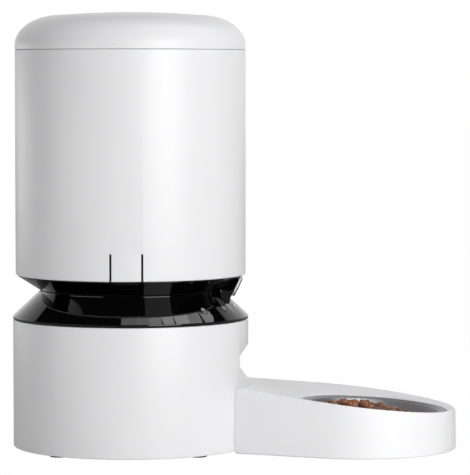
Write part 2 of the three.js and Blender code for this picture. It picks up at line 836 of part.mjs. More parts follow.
function basePlate() {
  const disc = cylinder(innerBase - gap, plateBottomZ, plateTopZ, 0, 0, roundSegments);
  const [bayOuterX, bayOuterY] = [bayHalfX + bayWall, bayHalfY + bayWall];
  const bay = box(-bayOuterX, bayOuterX, -bayOuterY, bayOuterY, plateBottomZ, bayTopZ);
  const bayRoom = box(-bayHalfX, bayHalfX, -bayHalfY, bayHalfY, plateBottomZ - overrun, bayRoofZ);
  const padTopZ = batteryCoverTopZ + gap + bayWall;
  const padHalfY = tongueHalfWidth + bayWall;
  const pad = box(bayHalfX, bayOuterX + tongueReach, -padHalfY, padHalfY, plateBottomZ, padTopZ);
  const bossTopZ = plateBottomZ + screwLength + bayWall;
  const boss = cylinder(screwRadius + bayWall, plateTopZ - bayWall, bossTopZ, coverScrewX, 0);
  const roomHalfY = tongueHalfWidth + gap;
  const tongueRoom = box(bayHalfX - overrun, bayHalfX + tongueReach + gap, -roomHalfY, roomHalfY,
    plateBottomZ - overrun, batteryCoverTopZ + gap);
  const tabRoom = box(coverTabX - overrun, -bayHalfX + overrun, -roomHalfY, roomHalfY,
    batteryCoverTopZ - gap, batteryCoverTopZ + batteryCoverThickness / 2 + gap);
  const round = (radius, fromZ, toZ) => cylinder(radius, fromZ, toZ, 0, speakerPlaceY, mediumSegments);
  const rimTopZ = plateTopZ + speakerRimHeight;
  const speakerRim = cut(
    round(speakerRadius + gap + bayWall, plateTopZ - bayWall, rimTopZ),
    round(speakerRadius + gap, plateTopZ - overrun, rimTopZ + overrun),
  );
  const grille = [[0, speakerPlaceY]];
  for (let i = 0; i < grilleHoleCount; i += 1) {
    const angle = 2 * Math.PI * i / grilleHoleCount;
    grille.push([grilleCircleRadius * Math.cos(angle), speakerPlaceY + grilleCircleRadius * Math.sin(angle)]);
  }
  const holes = grille.map(([x, y]) => (
    cylinder(grilleHoleRadius, plateBottomZ - overrun, plateTopZ + overrun, x, y, pinSegments)
  ));
  const rests = [1, -1].flatMap((side) => [0, 1].map((end) => {
    const x = powerBoardX + postPadding + end * (powerBoardLength - 2 * postPadding);
    const y = side * (powerBoardWidth / 2 - postPadding);
    return cylinder(keyBoardPostRadius, plateTopZ - plateThickness / 2, powerBoardZ - gap, x, y, pinSegments);
  }));
  const screws = postPlaces.map(([x, y]) => screw(x, y, plateBottomZ, gap));
  return cut(
    join(disc, bay, pad, boss, speakerRim, ...rests),
    bayRoom, tongueRoom, tabRoom, screw(coverScrewX, 0, plateBottomZ, gap), ...holes, ...screws,
  );
}
piece('base_plate', basePlate(), blackPlastic);

piece('battery_cover', cut(
  join(
    box(gap - bayHalfX, bayHalfX - gap, gap - bayHalfY, bayHalfY - gap, plateBottomZ, batteryCoverTopZ),
    box(bayHalfX - bayWall, bayHalfX + tongueReach, -tongueHalfWidth, tongueHalfWidth,
      plateBottomZ, batteryCoverTopZ),
    box(coverTabX, bayWall - bayHalfX, -tongueHalfWidth, tongueHalfWidth,
      batteryCoverTopZ, batteryCoverTopZ + batteryCoverThickness / 2),
    box(gap - bayHalfX, bayWall - bayHalfX, -tongueHalfWidth, tongueHalfWidth,
      plateBottomZ, batteryCoverTopZ + batteryCoverThickness / 2),
  ),
  screw(coverScrewX, 0, plateBottomZ, gap),
), blackPlastic);

// Battery cells lie across the bay with their poles in turn, between sprung contacts
for (let i = 0; i < cellCount; i += 1) {
  const x = (i - (cellCount - 1) / 2) * cellPitch;
  const side = i % 2 ? -1 : 1;
  const body = new THREE.CylinderGeometry(cellRadius, cellRadius, cellLength - cellNubHeight, mediumSegments);
  const nub = new THREE.CylinderGeometry(cellNubRadius, cellNubRadius, cellLength / 2, smallSegments);
  body.translate(x, -side * cellNubHeight / 2, cellAxisZ);
  nub.translate(x, side * cellLength / 4, cellAxisZ);
  piece(`battery_cell_${i + 1}`, join(body, nub), cellJacket);
}

function batteryContact(side) {
  const [fromY, toY] = sideSpan(side, bayHalfY - gap - contactThickness, bayHalfY - gap);
  const halfX = bayHalfX - baySideRoom;
  const strip = box(-halfX, halfX, fromY, toY, cellAxisZ - contactWidth / 2, cellAxisZ + contactWidth / 2);
  const reach = bayEndRoom - 2 * gap;
  const springs = [];
  for (let i = 0; i < cellCount; i += 1) {
    const x = (i - (cellCount - 1) / 2) * cellPitch;
    const [tipRadius, rootRadius] = [contactWidth / 4, contactWidth / 2 - contactThickness];
    const spring = new THREE.CylinderGeometry(tipRadius, rootRadius, reach, pinSegments);
    const y = side * (cellLength / 2 + gap + reach / 2);
    springs.push(spring.rotateX(side > 0 ? Math.PI : 0).translate(x, y, cellAxisZ));
  }
  return join(strip, ...springs);
}
piece('battery_contact_right', batteryContact(-1), steel);
piece('battery_contact_left', batteryContact(1), steel);

// Feet, screws, speaker and boards
[[1, 1], [1, -1], [-1, 1], [-1, -1]].forEach(([x, y], i) => {
  piece(`foot_${i + 1}`, cylinder(footRadius, 0, plateBottomZ - gap, x * footPlaceX, y * footPlaceY), rubber);
});
postPlaces.forEach(([x, y], i) => piece(`base_screw_${i + 1}`, screw(x, y, plateBottomZ), steel));
piece('battery_cover_screw', screw(coverScrewX, 0, plateBottomZ), steel);
piece('gearbox_screw_right', gearboxScrews[0], steel);
piece('gearbox_screw_left', gearboxScrews[1], steel);
const speakerZ = plateTopZ + gap;
piece('speaker', join(
  cylinder(speakerRadius, speakerZ, speakerZ + speakerHeight / 2, 0, speakerPlaceY, mediumSegments),
  cylinder(speakerRadius / 2, speakerZ + speakerHeight / 4, speakerZ + speakerHeight, 0, speakerPlaceY),
), blackPlastic);

const mainBoardTopZ = bayTopZ + gap + boardThickness;
const mainBoardHalfX = bayHalfX - boardMargin;
const mainBoardHalfY = bayHalfY - boardMargin;
const radioX = mainBoardHalfX - radioLength - boardMargin;
piece('main_board', join(
  box(-mainBoardHalfX, mainBoardHalfX, -mainBoardHalfY, mainBoardHalfY, bayTopZ + gap, mainBoardTopZ),
  box(-chipLength / 2, chipLength / 2, -chipLength / 2, chipLength / 2,
    mainBoardTopZ - chipHeight / 2, mainBoardTopZ + chipHeight),
  ...[-1, 1].map((side) => {
    const y = side * (mainBoardHalfY - connectorLength);
    return box(-connectorLength, connectorLength, y - connectorLength / 2, y + connectorLength / 2,
      mainBoardTopZ - boardThickness / 2, mainBoardTopZ + connectorHeight);
  }),
  box(radioX, radioX + radioLength, -radioWidth / 2, radioWidth / 2, mainBoardTopZ - chipHeight / 2,
    mainBoardTopZ + chipHeight),
), boardGreen);

// Power inlet: the metal socket and the small board that it is soldered to
function powerInlet() {
  const mouthX = -baseRadius + baseWall / 2;
  const socketBox = (fromX, toX, inset) => {
    const [halfWidth, halfHeight] = [socketWidth / 2 - inset, socketHeight / 2 - inset];
    return box(fromX, toX, -halfWidth, halfWidth, socketCentreZ - halfHeight, socketCentreZ + halfHeight);
  };
  const shell = socketBox(mouthX, mouthX + socketDepth, 0);
  const room = socketBox(mouthX - overrun, mouthX + socketDepth - socketWall, socketWall);
  const tongue = box(mouthX + socketDepth / 4, mouthX + socketDepth, -socketWidth / 4, socketWidth / 4,
    socketCentreZ - socketTongue / 2, socketCentreZ + socketTongue / 2);
  const board = box(powerBoardX, powerBoardX + powerBoardLength, -powerBoardWidth / 2, powerBoardWidth / 2,
    powerBoardZ, powerBoardTopZ);
  return join(cut(shell, room), tongue, board);
}
piece('power_inlet', powerInlet(), steel);

// Camera housing, which bridges the waist, and the tilted parts in its front
const cameraFrame = new THREE.Group();
cameraFrame.position.set(cameraCentreX, 0, cameraCentreZ);
cameraFrame.rotation.y = cameraTilt * degrees;
cameraFrame.updateMatrix();
feeder.add(cameraFrame);
const lampPlaces = [[1, 1], [1, -1], [-1, 1], [-1, -1]].map(([side, up]) => [
  side * lampPlace,
  up * lampSpread / 2,
]);

function facing(outline, fromX, toX, holes) {
  const shape = new THREE.Shape(outline.map(([y, z]) => new THREE.Vector2(y, z)));
  const bar = new THREE.ExtrudeGeometry(shape, { depth: toX - fromX, bevelEnabled: false });
  return cut(swing(bar.translate(0, 0, fromX)), ...holes);
}

function swing(geometry) {
  const axes = [new THREE.Vector3(0, 1, 0), new THREE.Vector3(0, 0, 1), new THREE.Vector3(1, 0, 0)];
  return geometry.applyMatrix4(new THREE.Matrix4().makeBasis(...axes));
}

function peg(radius, fromX, toX, y = 0, z = 0, segments = smallSegments) {
  return swing(cylinder(radius, fromX, toX, y, z, segments));
}

function pill(length, height) {
  const end = height / 2;
  const reach = length / 2 - end;
  const outline = [];
  for (const side of [1, -1]) {
    for (let i = 0; i <= pieSteps * 2; i += 1) {
      const angle = -Math.PI / 2 + Math.PI * i / (pieSteps * 2);
      outline.push([side * (reach + end * Math.cos(angle)), side * end * Math.sin(angle)]);
    }
  }
  return outline;
}

const bezelTopX = gap + bezelThickness;
const panelTopX = bezelTopX + gap + panelThickness;
function cameraHousing() {
  const inner = housingOutline(-housingWall);
  inner[2][0] = housingBackX - overrun;
  inner[3][0] = housingBackX - overrun;
  const room = acrossY(inner, housingHalfWidth - housingWall);
  const body = cut(acrossY(housingOutline(0), housingHalfWidth), room);
  const holes = [
    peg(barrelRadius + gap, -housingWall * 2, overrun),
    ...lampPlaces.map(([y, z]) => peg(lampRadius + gap, -housingWall * 2, overrun, y, z, pinSegments)),
  ].map((hole) => hole.applyMatrix4(cameraFrame.matrix));
  return cut(body, ...holes);
}
piece('camera_housing', cameraHousing(), blackGloss);
piece('camera_bezel', facing(pill(bezelLength, bezelHeight), gap, bezelTopX, [
  peg(barrelRadius + gap, -overrun, overrun),
  ...lampPlaces.map(([y, z]) => peg(lampRadius + gap, -overrun, overrun, y, z, pinSegments)),
]), greyTrim, cameraFrame);
piece('camera_panel', facing(pill(bezelLength, bezelHeight), bezelTopX + gap, panelTopX, [
  peg(lensRadius + lensRim, 0, panelTopX + overrun),
]), blackGloss, cameraFrame);
piece('camera_barrel', peg(barrelRadius, -barrelLength, bezelTopX), blackPlastic, cameraFrame);
piece('camera_lens', swing(lathe([
  [0, bezelTopX + gap],
  [lensRadius, bezelTopX + gap],
  [lensRadius, panelTopX],
  [lensRadius * lensEdgeShare, panelTopX + lensDome * lensEdgeDomeShare],
  [0, panelTopX + lensDome],
], smallSegments)), lensGlass, cameraFrame);

// Camera board, which carries the infrared lamps on two pads beside the barrel
const cameraBoardX = -barrelLength - gap;
piece('camera_board', join(
  box(cameraBoardX - boardThickness, cameraBoardX, -cameraBoardHalfWidth, cameraBoardHalfWidth,
    cameraBoardRise - cameraBoardHeight, cameraBoardRise),
  ...[-1, 1].map((side) => {
    const [fromY, toY] = sideSpan(side, lampPlace - lampSpread / 2, lampPlace + lampSpread / 2);
    return box(cameraBoardX - boardThickness / 2, -housingWall - gap, fromY, toY, -lampSpread, 0);
  }),
  ...lampPlaces.map(([y, z]) => peg(lampRadius, -housingWall * 2, bezelTopX, y, z, pinSegments)),
), boardGreen, cameraFrame);

// Hopper skirt, the upper black cone, with a sleeve inside the hopper and room for the camera housing
const innerHopper = hopperRadius - hopperWall;
const skirtTopZ = skirtBottomZ + skirtHeight;
const skirtBottomRadius = waistRadius - skirtBottomInset;
const skirtTopRadius = hopperRadius - skirtTopInset;
const sleeveOuter = innerHopper - gap;
const sleeveInner = sleeveOuter - sleeveWall;
const sleeveTopZ = skirtTopZ + sleeveHeight;
const skirtSlope = skirtHeight / (skirtTopRadius - skirtBottomRadius);
const skirtWallAcross = skirtWall * Math.hypot(1, skirtSlope);

function skirtCone() {
  const flangeTopZ = skirtBottomZ + skirtWall;
  const innerZ = (r) => skirtBottomZ + (r - skirtBottomRadius) * skirtSlope + skirtWallAcross;
  const flangeEdge = skirtBottomRadius + (skirtWall - skirtWallAcross) / skirtSlope;
  return lathe([
    [skirtFlangeRadius, skirtBottomZ],
    [skirtBottomRadius, skirtBottomZ],
    [skirtTopRadius, skirtTopZ],
    [sleeveOuter, skirtTopZ],
    [sleeveOuter, sleeveTopZ],
    [sleeveInner, sleeveTopZ],
    [sleeveInner, innerZ(sleeveInner)],
    [flangeEdge, flangeTopZ],
    [skirtFlangeRadius, flangeTopZ],
  ]);
}

const tabTopZ = hopperBottomZ + tabHeight;
const latchWindowHalf = latchPlateHalfWidth + latchWindowMargin;
const latchToeZ = skirtTopZ - latchToeDrop;
const latchPlateTopZ = tabTopZ - runningGap;
const latchPlateOuter = innerHopper - latchPlateInset;
const latchShoulderZ = skirtTopZ + latchPlateWall / 2;

function onSide(side, halfWidth, fromZ, toZ) {
  const [fromY, toY] = sideSpan(side, waistRadius / 2, hopperRadius + overrun);
  return box(-halfWidth, halfWidth, fromY, toY, fromZ, toZ);
}

function hopperSkirt() {
  const windows = [-1, 1].flatMap((side) => [
    onSide(side, latchToeHalfWidth + gap, latchToeZ - gap, latchShoulderZ + overrun),
    onSide(side, latchWindowHalf, skirtTopZ, tabTopZ + latchWindowMargin),
  ]);
  const front = box(housingBackX - gap, hopperRadius + overrun, -skirtFrontHalfWidth, skirtFrontHalfWidth,
    skirtBottomZ - overrun, skirtTopZ);
  return cut(skirtCone(), ...windows, front);
}
piece('hopper_skirt', hopperSkirt(), blackGloss);

// Hopper shell with a window on each side for the release tab
const shellWall = lathe([
  [innerHopper, hopperBottomZ],
  [hopperRadius - hopperEdgeRound, hopperBottomZ],
  [hopperRadius - hopperEdgeRound * edgeStepShare, hopperBottomZ + hopperEdgeRound * edgeStepShare],
  [hopperRadius, hopperBottomZ + hopperEdgeRound],
  [hopperRadius, hopperTopZ],
  [innerHopper, hopperTopZ],
]);
const tabWindowHalf = tabHalfWidth + tabSlotWidth;
piece('hopper_shell', cut(
  shellWall,
  ...[-1, 1].map((side) => onSide(side, tabWindowHalf, hopperBottomZ - overrun, tabTopZ + gap)),
), whitePlastic);

// Release tabs, each a strip of the shell with the black latch arm behind it, hinged at its top
for (const [side, name] of [[-1, 'right'], [1, 'left']]) {
  piece(`release_tab_${name}`, common(
    shellWall,
    onSide(side, tabHalfWidth, hopperBottomZ - overrun, tabTopZ),
  ), whitePlastic);
  const plate = common(
    tube(latchPlateOuter - latchPlateWall, latchPlateOuter, latchShoulderZ, latchPlateTopZ),
    onSide(side, latchPlateHalfWidth, latchShoulderZ, latchPlateTopZ),
  );
  const [neckFromZ, neckToZ] = [skirtTopZ - latchPlateWall, latchShoulderZ + latchPlateWall];
  const neck = common(
    tube(latchPlateOuter - latchPlateWall, latchPlateOuter, neckFromZ, neckToZ),
    onSide(side, latchToeHalfWidth, neckFromZ, neckToZ),
  );
  const toe = common(skirtCone(), onSide(side, latchToeHalfWidth, latchToeZ, skirtTopZ));
  piece(`release_latch_${name}`, join(plate, neck, toe), blackGloss);
}

// Funnel with the portion chamber below it
const chamberBottomZ = portionPlateTopZ + gap;
const chamberTopZ = chamberBottomZ + chamberHeight;
const chamberOuter = chamberRadius + chamberWall;
const funnelRimRadius = innerHopper - gap;
const funnelSlope = (funnelRimZ - chamberTopZ) / (funnelRimRadius - chamberOuter);
const funnelWallAcross = funnelWall * Math.hypot(1, funnelSlope);
const funnelTopRadius = funnelRimRadius - chamberWall;
piece('hopper_funnel', lathe([
  [funnelRimRadius, funnelRimZ],
  [funnelRimRadius, funnelRimZ + funnelRimHeight],
  [funnelTopRadius, funnelRimZ + funnelRimHeight],
  [funnelTopRadius, chamberTopZ + (funnelTopRadius - chamberOuter) * funnelSlope + funnelWallAcross],
  [chamberRadius, chamberTopZ - chamberWall * funnelSlope + funnelWallAcross],
  [chamberRadius, chamberBottomZ],
  [chamberOuter, chamberBottomZ],
  [chamberOuter, chamberTopZ],
], innerSegments), liningPlastic);

// Portion plate with one outlet, the rotor that sweeps food round to it, the wiper over the outlet and
// the agitator
piece('portion_plate', cut(
  cylinder(chamberOuter, portionPlateZ, portionPlateTopZ, 0, 0, innerSegments),
  foodSector(0, portionPlateZ - overrun, portionPlateTopZ + overrun),
  cylinder(shaftHole, portionPlateZ - overrun, portionPlateTopZ + overrun),
), liningPlastic);

const rotorZ = portionPlateTopZ + runningGap;
const rotorTopZ = rotorZ + rotorHeight;
const hubTopZ = rotorTopZ + rotorHubRise;
function portionRotor() {
  const paddles = [];
  for (let i = 0; i < paddleCount; i += 1) {
    const paddle = box(rotorHubRadius / 2, chamberRadius - rotorClearance,
      -paddleThickness / 2, paddleThickness / 2, rotorZ, rotorTopZ);
    paddles.push(paddle.rotateZ(2 * Math.PI * (i + 0.5) / paddleCount));
  }
  const hub = cylinder(rotorHubRadius, rotorZ, hubTopZ, 0, 0, mediumSegments);
  return cut(join(hub, ...paddles), tongue(gap, rotorZ - overrun, tongueZ + tongueHeight + gap));
}
piece('portion_rotor', portionRotor(), rubber);

const agitatorZ = hubTopZ + gap;
const agitatorTopZ = agitatorZ + agitatorHeight;
piece('agitator', join(
  cylinder(agitatorPostRadius, agitatorZ, agitatorTopZ),
  box(-agitatorSpan, agitatorSpan, -agitatorBar / 2, agitatorBar / 2,
    agitatorTopZ - 2 * agitatorBar, agitatorTopZ - agitatorBar),
), liningPlastic);

const wiperZ = rotorTopZ + runningGap;
piece('pocket_wiper', cut(
  pie(-wiperHalfAngle, wiperHalfAngle, chamberRadius - gap, wiperZ, wiperZ + wiperThickness),
  cylinder(wiperInnerRadius, wiperZ - overrun, wiperZ + wiperThickness + overrun, 0, 0, mediumSegments),
), rubber);

// Lid shell: a straight side, an elliptical shoulder and a shallow crown
function lidOutline(inset, steps) {
  const sideTopZ = lidBottomZ + lidSideHeight;
  const across = hopperRadius - lidShoulderRadius - inset;
  const rise = lidShoulderHeight - inset;
  const crown = lidHeight - lidSideHeight - lidShoulderHeight;
  const outline = [[hopperRadius - inset, lidBottomZ]];
  for (let i = 0; i <= steps; i += 1) {
    const angle = Math.PI / 2 * i / steps;
    outline.push([lidShoulderRadius + across * Math.cos(angle), sideTopZ + rise * Math.sin(angle)]);
  }
  outline.push([lidShoulderRadius / 2, sideTopZ + rise + crown * lidCrownShare]);
  outline.push([0, sideTopZ + rise + crown]);
  return outline;
}
const lidProfile = [...lidOutline(0, lidSteps), ...lidOutline(lidWall, lidSteps - 2).reverse()];
piece('lid_shell', lathe(lidProfile), whitePlastic);

// Lid liner with its plug, seal and desiccant holder
const linerZ = lidBottomZ + gap;
const plugOuter = innerHopper - linerPlugClearance;
const packOuter = packRadius + packRoom + packWall;
const packRingZ = linerZ - packHeight - 2 * gap - twistSpigotHeight;
piece('lid_liner', lathe([
  [0, linerZ + linerThickness],
  [hopperRadius - lidWall - gap, linerZ + linerThickness],
  [hopperRadius - lidWall - gap, linerZ],
  [plugOuter, linerZ],
  [plugOuter, linerZ - linerPlugDepth],
  [plugOuter - linerPlugWall, linerZ - linerPlugDepth],
  [plugOuter - linerPlugWall, linerZ],
  [packOuter, linerZ],
  [packOuter, packRingZ],
  [packOuter - packWall, packRingZ],
  [packOuter - packWall, linerZ],
  [0, linerZ],
], innerSegments), liningPlastic);
const sealZ = linerZ - sealDrop - sealHeight;
piece('lid_seal', tube(plugOuter + gap, innerHopper - gap, sealZ, sealZ + sealHeight, innerSegments), rubber);
const packTopZ = linerZ - gap;
const pack = cylinder(packRadius, packTopZ - packHeight, packTopZ, 0, 0, mediumSegments);
piece('desiccant_pack', pack, desiccantCloth);
const twistTopZ = packRingZ - gap;
const twistZ = twistTopZ - twistCoverThickness;
const spigotRadius = packRadius + packRoom - gap;
piece('desiccant_cover', join(
  cylinder(packOuter + twistCoverLip, twistZ, twistTopZ, 0, 0, mediumSegments),
  tube(spigotRadius - packWall, spigotRadius, twistTopZ - twistCoverThickness / 2,
    packRingZ + twistSpigotHeight - gap, mediumSegments),
  box(-packRadius, packRadius, -twistGripWidth / 2, twistGripWidth / 2, twistZ - twistGripHeight, twistTopZ),
), liningPlastic);

// Tray outline at a distance inside its rim: a concave back round the base, flared sides and a round front
const trayBackRadius = baseRadius + gap;
const trayBackX = Math.sqrt(trayBackRadius ** 2 - trayBackHalfWidth ** 2);
const toCentre = Math.hypot(trayCentreX - trayBackX, trayBackHalfWidth);
const trayFlare = Math.asin(trayRadius / toCentre) - Math.atan2(trayBackHalfWidth, trayCentreX - trayBackX);

function trayOutline(inset) {
  const radius = trayRadius - inset;
  const touch = Math.PI / 2 + trayFlare;
  const touchPoint = [trayCentreX + radius * Math.cos(touch), radius * Math.sin(touch)];
  const along = [Math.cos(trayFlare), Math.sin(trayFlare)];
  const backRadius = trayBackRadius + Math.max(inset, 0);
  const towards = touchPoint[0] * along[0] + touchPoint[1] * along[1];
  const square = touchPoint[0] ** 2 + touchPoint[1] ** 2 - backRadius ** 2;
  const run = towards - Math.sqrt(towards ** 2 - square);
  const corner = [touchPoint[0] - run * along[0], touchPoint[1] - run * along[1]];
  const cornerAngle = Math.atan2(corner[1], corner[0]);
  const sidePoint = (share, side) => [
    corner[0] + (touchPoint[0] - corner[0]) * share,
    side * (corner[1] + (touchPoint[1] - corner[1]) * share),
  ];
  const outline = [];
  for (let i = 0; i < trayBackSteps; i += 1) {
    const angle = cornerAngle * (1 - 2 * i / trayBackSteps);
    outline.push([backRadius * Math.cos(angle), backRadius * Math.sin(angle)]);
  }
  for (let i = 0; i < traySideSteps; i += 1) {
    outline.push(sidePoint(i / traySideSteps, -1));
  }
  for (let i = 0; i <= trayFrontSteps; i += 1) {
    const angle = touch * (2 * i / trayFrontSteps - 1);
    outline.push([trayCentreX + radius * Math.cos(angle), radius * Math.sin(angle)]);
  }
  for (let i = 1; i < traySideSteps; i += 1) {
    outline.push(sidePoint(1 - i / traySideSteps, 1));
  }
  return outline;
}

const trayFrontX = trayCentreX + trayRadius;
const traySlope = (trayBackRimZ - trayFrontRimZ) / (trayFrontX - trayBackX);
const rimZ = (x) => trayBackRimZ - (x - trayBackX) * traySlope;
const tilt = bowlTilt * degrees;
const seatRadius = bowlRadius + bowlSeatClearance;
const seatDepth = bowlRimDrop + gap;
const throatRadius = bowlRadius - bowlRimWidth;
const wellHoleRadius = throatRadius + bowlWellClearance;
const atHeight = (outline, height) => outline.map(([x, y]) => [x, y, height(x)]);

function seatLoop(radius, depth) {
  return trayOutline(0).map(([x, y]) => {
    const angle = Math.atan2(y, x - bowlCentreX);
    const forward = radius * Math.cos(angle);
    return [
      bowlCentreX + forward * Math.cos(tilt) - depth * Math.sin(tilt),
      radius * Math.sin(angle),
      bowlRimZ - forward * Math.sin(tilt) - depth * Math.cos(tilt),
    ];
  });
}

function basin(lower, widen) {
  const rim = trayOutline(trayRimWidth);
  return rings([
    seatLoop(seatRadius + widen, seatDepth + lower),
    seatLoop(seatRadius + widen, lower),
    atHeight(rim, (x) => rimZ(x) - lower),
    atHeight(rim, (x) => rimZ(x) + overrun),
  ]);
}

function bowlTray() {
  const trayEdgeStep = trayEdgeRound * edgeStepShare;
  const outer = rings([
    atHeight(trayOutline(trayEdgeRound - trayDraft), () => trayBottomZ),
    atHeight(trayOutline(trayEdgeStep - trayDraft), () => trayBottomZ + trayEdgeStep),
    atHeight(trayOutline(-trayDraft), () => trayBottomZ + trayEdgeRound),
    atHeight(trayOutline(0), (x) => rimZ(x)),
  ]);
  const aboveSeat = bowlRimZ + overrun;
  const well = cylinder(wellHoleRadius, trayFloorZ, aboveSeat, bowlCentreX, 0, roundSegments);
  const wellOuter = cylinder(wellHoleRadius + trayWall, trayBottomZ - overrun * 2, aboveSeat,
    bowlCentreX, 0, roundSegments);
  const innerWall = trayOutline(trayWall);
  const under = cut(
    rings([
      atHeight(innerWall, () => trayBottomZ - overrun),
      atHeight(innerWall, (x) => rimZ(x) - trayWall),
    ]),
    basin(trayWall, trayWall),
    wellOuter,
  );
  const hookBackX = Math.sqrt(innerBase ** 2 - hookFarY ** 2) - trayHookReach;
  const hookFrontX = Math.sqrt((trayBackRadius + trayWall) ** 2 - hookFarY ** 2);
  const hooks = [-1, 1].map((side) => {
    const [fromY, toY] = sideSpan(side, trayHookPlace, hookFarY);
    return box(hookBackX, hookFrontX, fromY, toY, trayHookZ, hookTopZ);
  });
  return cut(join(cut(outer, basin(0, 0), well, under), ...hooks), trayFoot(gap));
}

function trayFoot(margin) {
  const topZ = trayFloorZ - trayFloorThickness - gap + margin;
  return cut(
    cylinder(trayFootPlace + trayFootWidth + margin, -2 * margin, topZ, bowlCentreX, 0, innerSegments),
    cylinder(trayFootPlace - margin, -overrun, topZ + overrun, bowlCentreX, 0, innerSegments),
  );
}
piece('bowl_tray', bowlTray(), whitePlastic);
piece('tray_foot', trayFoot(0), rubber);

// Steel bowl, hung by its rim in the tray's seat and tipped a little forward with it
const bowlPlace = new THREE.Group();
bowlPlace.position.set(bowlCentreX, 0, bowlRimZ);
bowlPlace.rotation.y = tilt;
feeder.add(bowlPlace);
const bowlSideShares = [[0, 1], [0.4, 0.91], [0.71, 0.67], [1, 0.06]];

function bowlSide(inset) {
  return bowlSideShares.map(([acrossShare, downShare]) => [
    bowlFloorRadius + (throatRadius - bowlFloorRadius) * acrossShare - inset * acrossShare,
    inset * (1 - acrossShare) - (bowlDepth * downShare),
  ]);
}
piece('feeding_bowl', lathe([
  [0, -bowlDepth],
  ...bowlSide(0),
  [throatRadius, -bowlRimDrop],
  [bowlRadius - bowlRimDrop / 2, -bowlRimDrop],
  [bowlRadius, -bowlRimDrop / 2],
  [bowlRadius - bowlRimDrop / 2, 0],
  [throatRadius - bowlWall / 2, 0],
  ...bowlSide(bowlWall).reverse(),
  [0, bowlWall - bowlDepth],
]), steel, bowlPlace);

// The whole object is centred over the origin, standing on its feet
feeder.position.x = -(trayFrontX + trayDraft - baseRadius) / 2;

const part = new THREE.Group();
part.add(feeder);
export default part;
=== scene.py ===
# Camera pet feeder: the looks of every piece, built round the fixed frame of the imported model.
# Metres, +Z up, +X towards the bowl. Sections follow the object as it is put together.

import math
import random

import bmesh
import bpy
import numpy as np
from mathutils import Matrix, Vector


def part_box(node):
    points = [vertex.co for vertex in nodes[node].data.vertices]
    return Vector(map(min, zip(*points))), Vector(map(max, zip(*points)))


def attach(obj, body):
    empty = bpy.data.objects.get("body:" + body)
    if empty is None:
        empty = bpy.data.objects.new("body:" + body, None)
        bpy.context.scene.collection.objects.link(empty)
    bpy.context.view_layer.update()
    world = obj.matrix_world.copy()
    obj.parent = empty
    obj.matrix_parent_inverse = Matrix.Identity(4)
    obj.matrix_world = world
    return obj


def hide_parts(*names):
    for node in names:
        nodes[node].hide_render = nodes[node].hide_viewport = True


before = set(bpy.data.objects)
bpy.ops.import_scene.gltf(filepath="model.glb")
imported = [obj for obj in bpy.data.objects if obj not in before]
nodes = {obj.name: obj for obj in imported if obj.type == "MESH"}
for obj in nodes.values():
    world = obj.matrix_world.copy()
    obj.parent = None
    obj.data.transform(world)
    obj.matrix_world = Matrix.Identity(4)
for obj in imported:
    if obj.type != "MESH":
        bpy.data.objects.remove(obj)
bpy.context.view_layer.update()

# Studio: a white sweep, a dark ceiling with a row of softboxes, a key softbox at the front right, and two lamps
# that gloss doesn't mirror, one over the lid and a narrow one on the tray. The camera stands at the feeder's right
# side and looks slightly down. What gloss mirrors is dimmer: the sweep fades towards the camera, the floor is grey.
image_width, image_height = 470, 475
sensor_millimetres = 36
focal_pixels = 2750
camera_place = Vector((0.0001, -2.219, 0.2983))
camera_pitch = math.radians(-3.3)


def added(name, data):
    """A new object in the scene."""
    made = bpy.data.objects.new(name, data)
    bpy.context.scene.collection.objects.link(made)
    return made


camera = added("camera", bpy.data.cameras.new("camera"))
camera.data.sensor_width = sensor_millimetres
camera.data.lens = focal_pixels * sensor_millimetres / max(image_width, image_height)
camera.location = camera_place
camera.rotation_euler = (math.pi / 2 + camera_pitch, 0, 0)
camera.data.clip_end = 50
bpy.context.scene.camera = camera
bpy.context.scene.view_settings.view_transform = "Standard"

backdrop_colour = (1.0, 1.0, 1.0, 1)
ceiling_colour = (0.012, 0.012, 0.013, 1)
ambient_colour = (0.18, 0.18, 0.183, 1)
overhead_colour = (0.4, 0.4, 0.405, 1)
ceiling_sine = 0.575
ceiling_blur = 0.008
mirrored_fade = (0.2, 0.95)
mirrored_floor = (0.3, 0.3, 0.3, 1)
floor_colour = (0.9, 0.9, 0.9, 1)
floor_reach_share = 0.985
floor_size = 30


def link(tree, out_socket, in_socket):
    """Joins an output of one node to an input of another."""
    tree.links.new(out_socket, in_socket)


def node(tree, kind, inputs=(), family="Shader", **settings):
    """A new node with its settings and its inputs, each given as a value or as another node's output."""
    made = tree.nodes.new(family + "Node" + kind)
    for name, value in settings.items():
        setattr(made, name, value)
    for name, value in dict(inputs).items():
        if isinstance(value, bpy.types.NodeSocket):
            link(tree, value, made.inputs[name])
        else:
            made.inputs[name].default_value = value
    return made


def ramp(tree, value, low=0, high=1, low_result=0, high_result=1, **settings):
    """A number that runs between two results while a value rises from low to high."""
    inputs = {"Value": value, "From Min": low, "From Max": high, "To Min": low_result, "To Max": high_result}
    return node(tree, "MapRange", inputs, **settings).outputs["Result"]


def maths(tree, operation, first, second):
    """A number made of two others."""
    return node(tree, "Math", {0: first, 1: second}, operation=operation).outputs[0]


def mixed(tree, share, first, second):
    """A colour that turns from the first into the second as the share rises."""
    return node(tree, "Mix", {"Factor": share, "A": first, "B": second}, data_type="RGBA").outputs["Result"]


def shown(tree, direct, mirrored, lit):
    """One colour for what the lens sees, one for what gloss mirrors, and one for the light that falls on things."""
    path = node(tree, "LightPath").outputs
    through = maths(tree, "MAXIMUM", path["Is Camera Ray"], path["Is Transmission Ray"])
    return mixed(tree, through, mixed(tree, path["Is Glossy Ray"], lit, mirrored), direct)


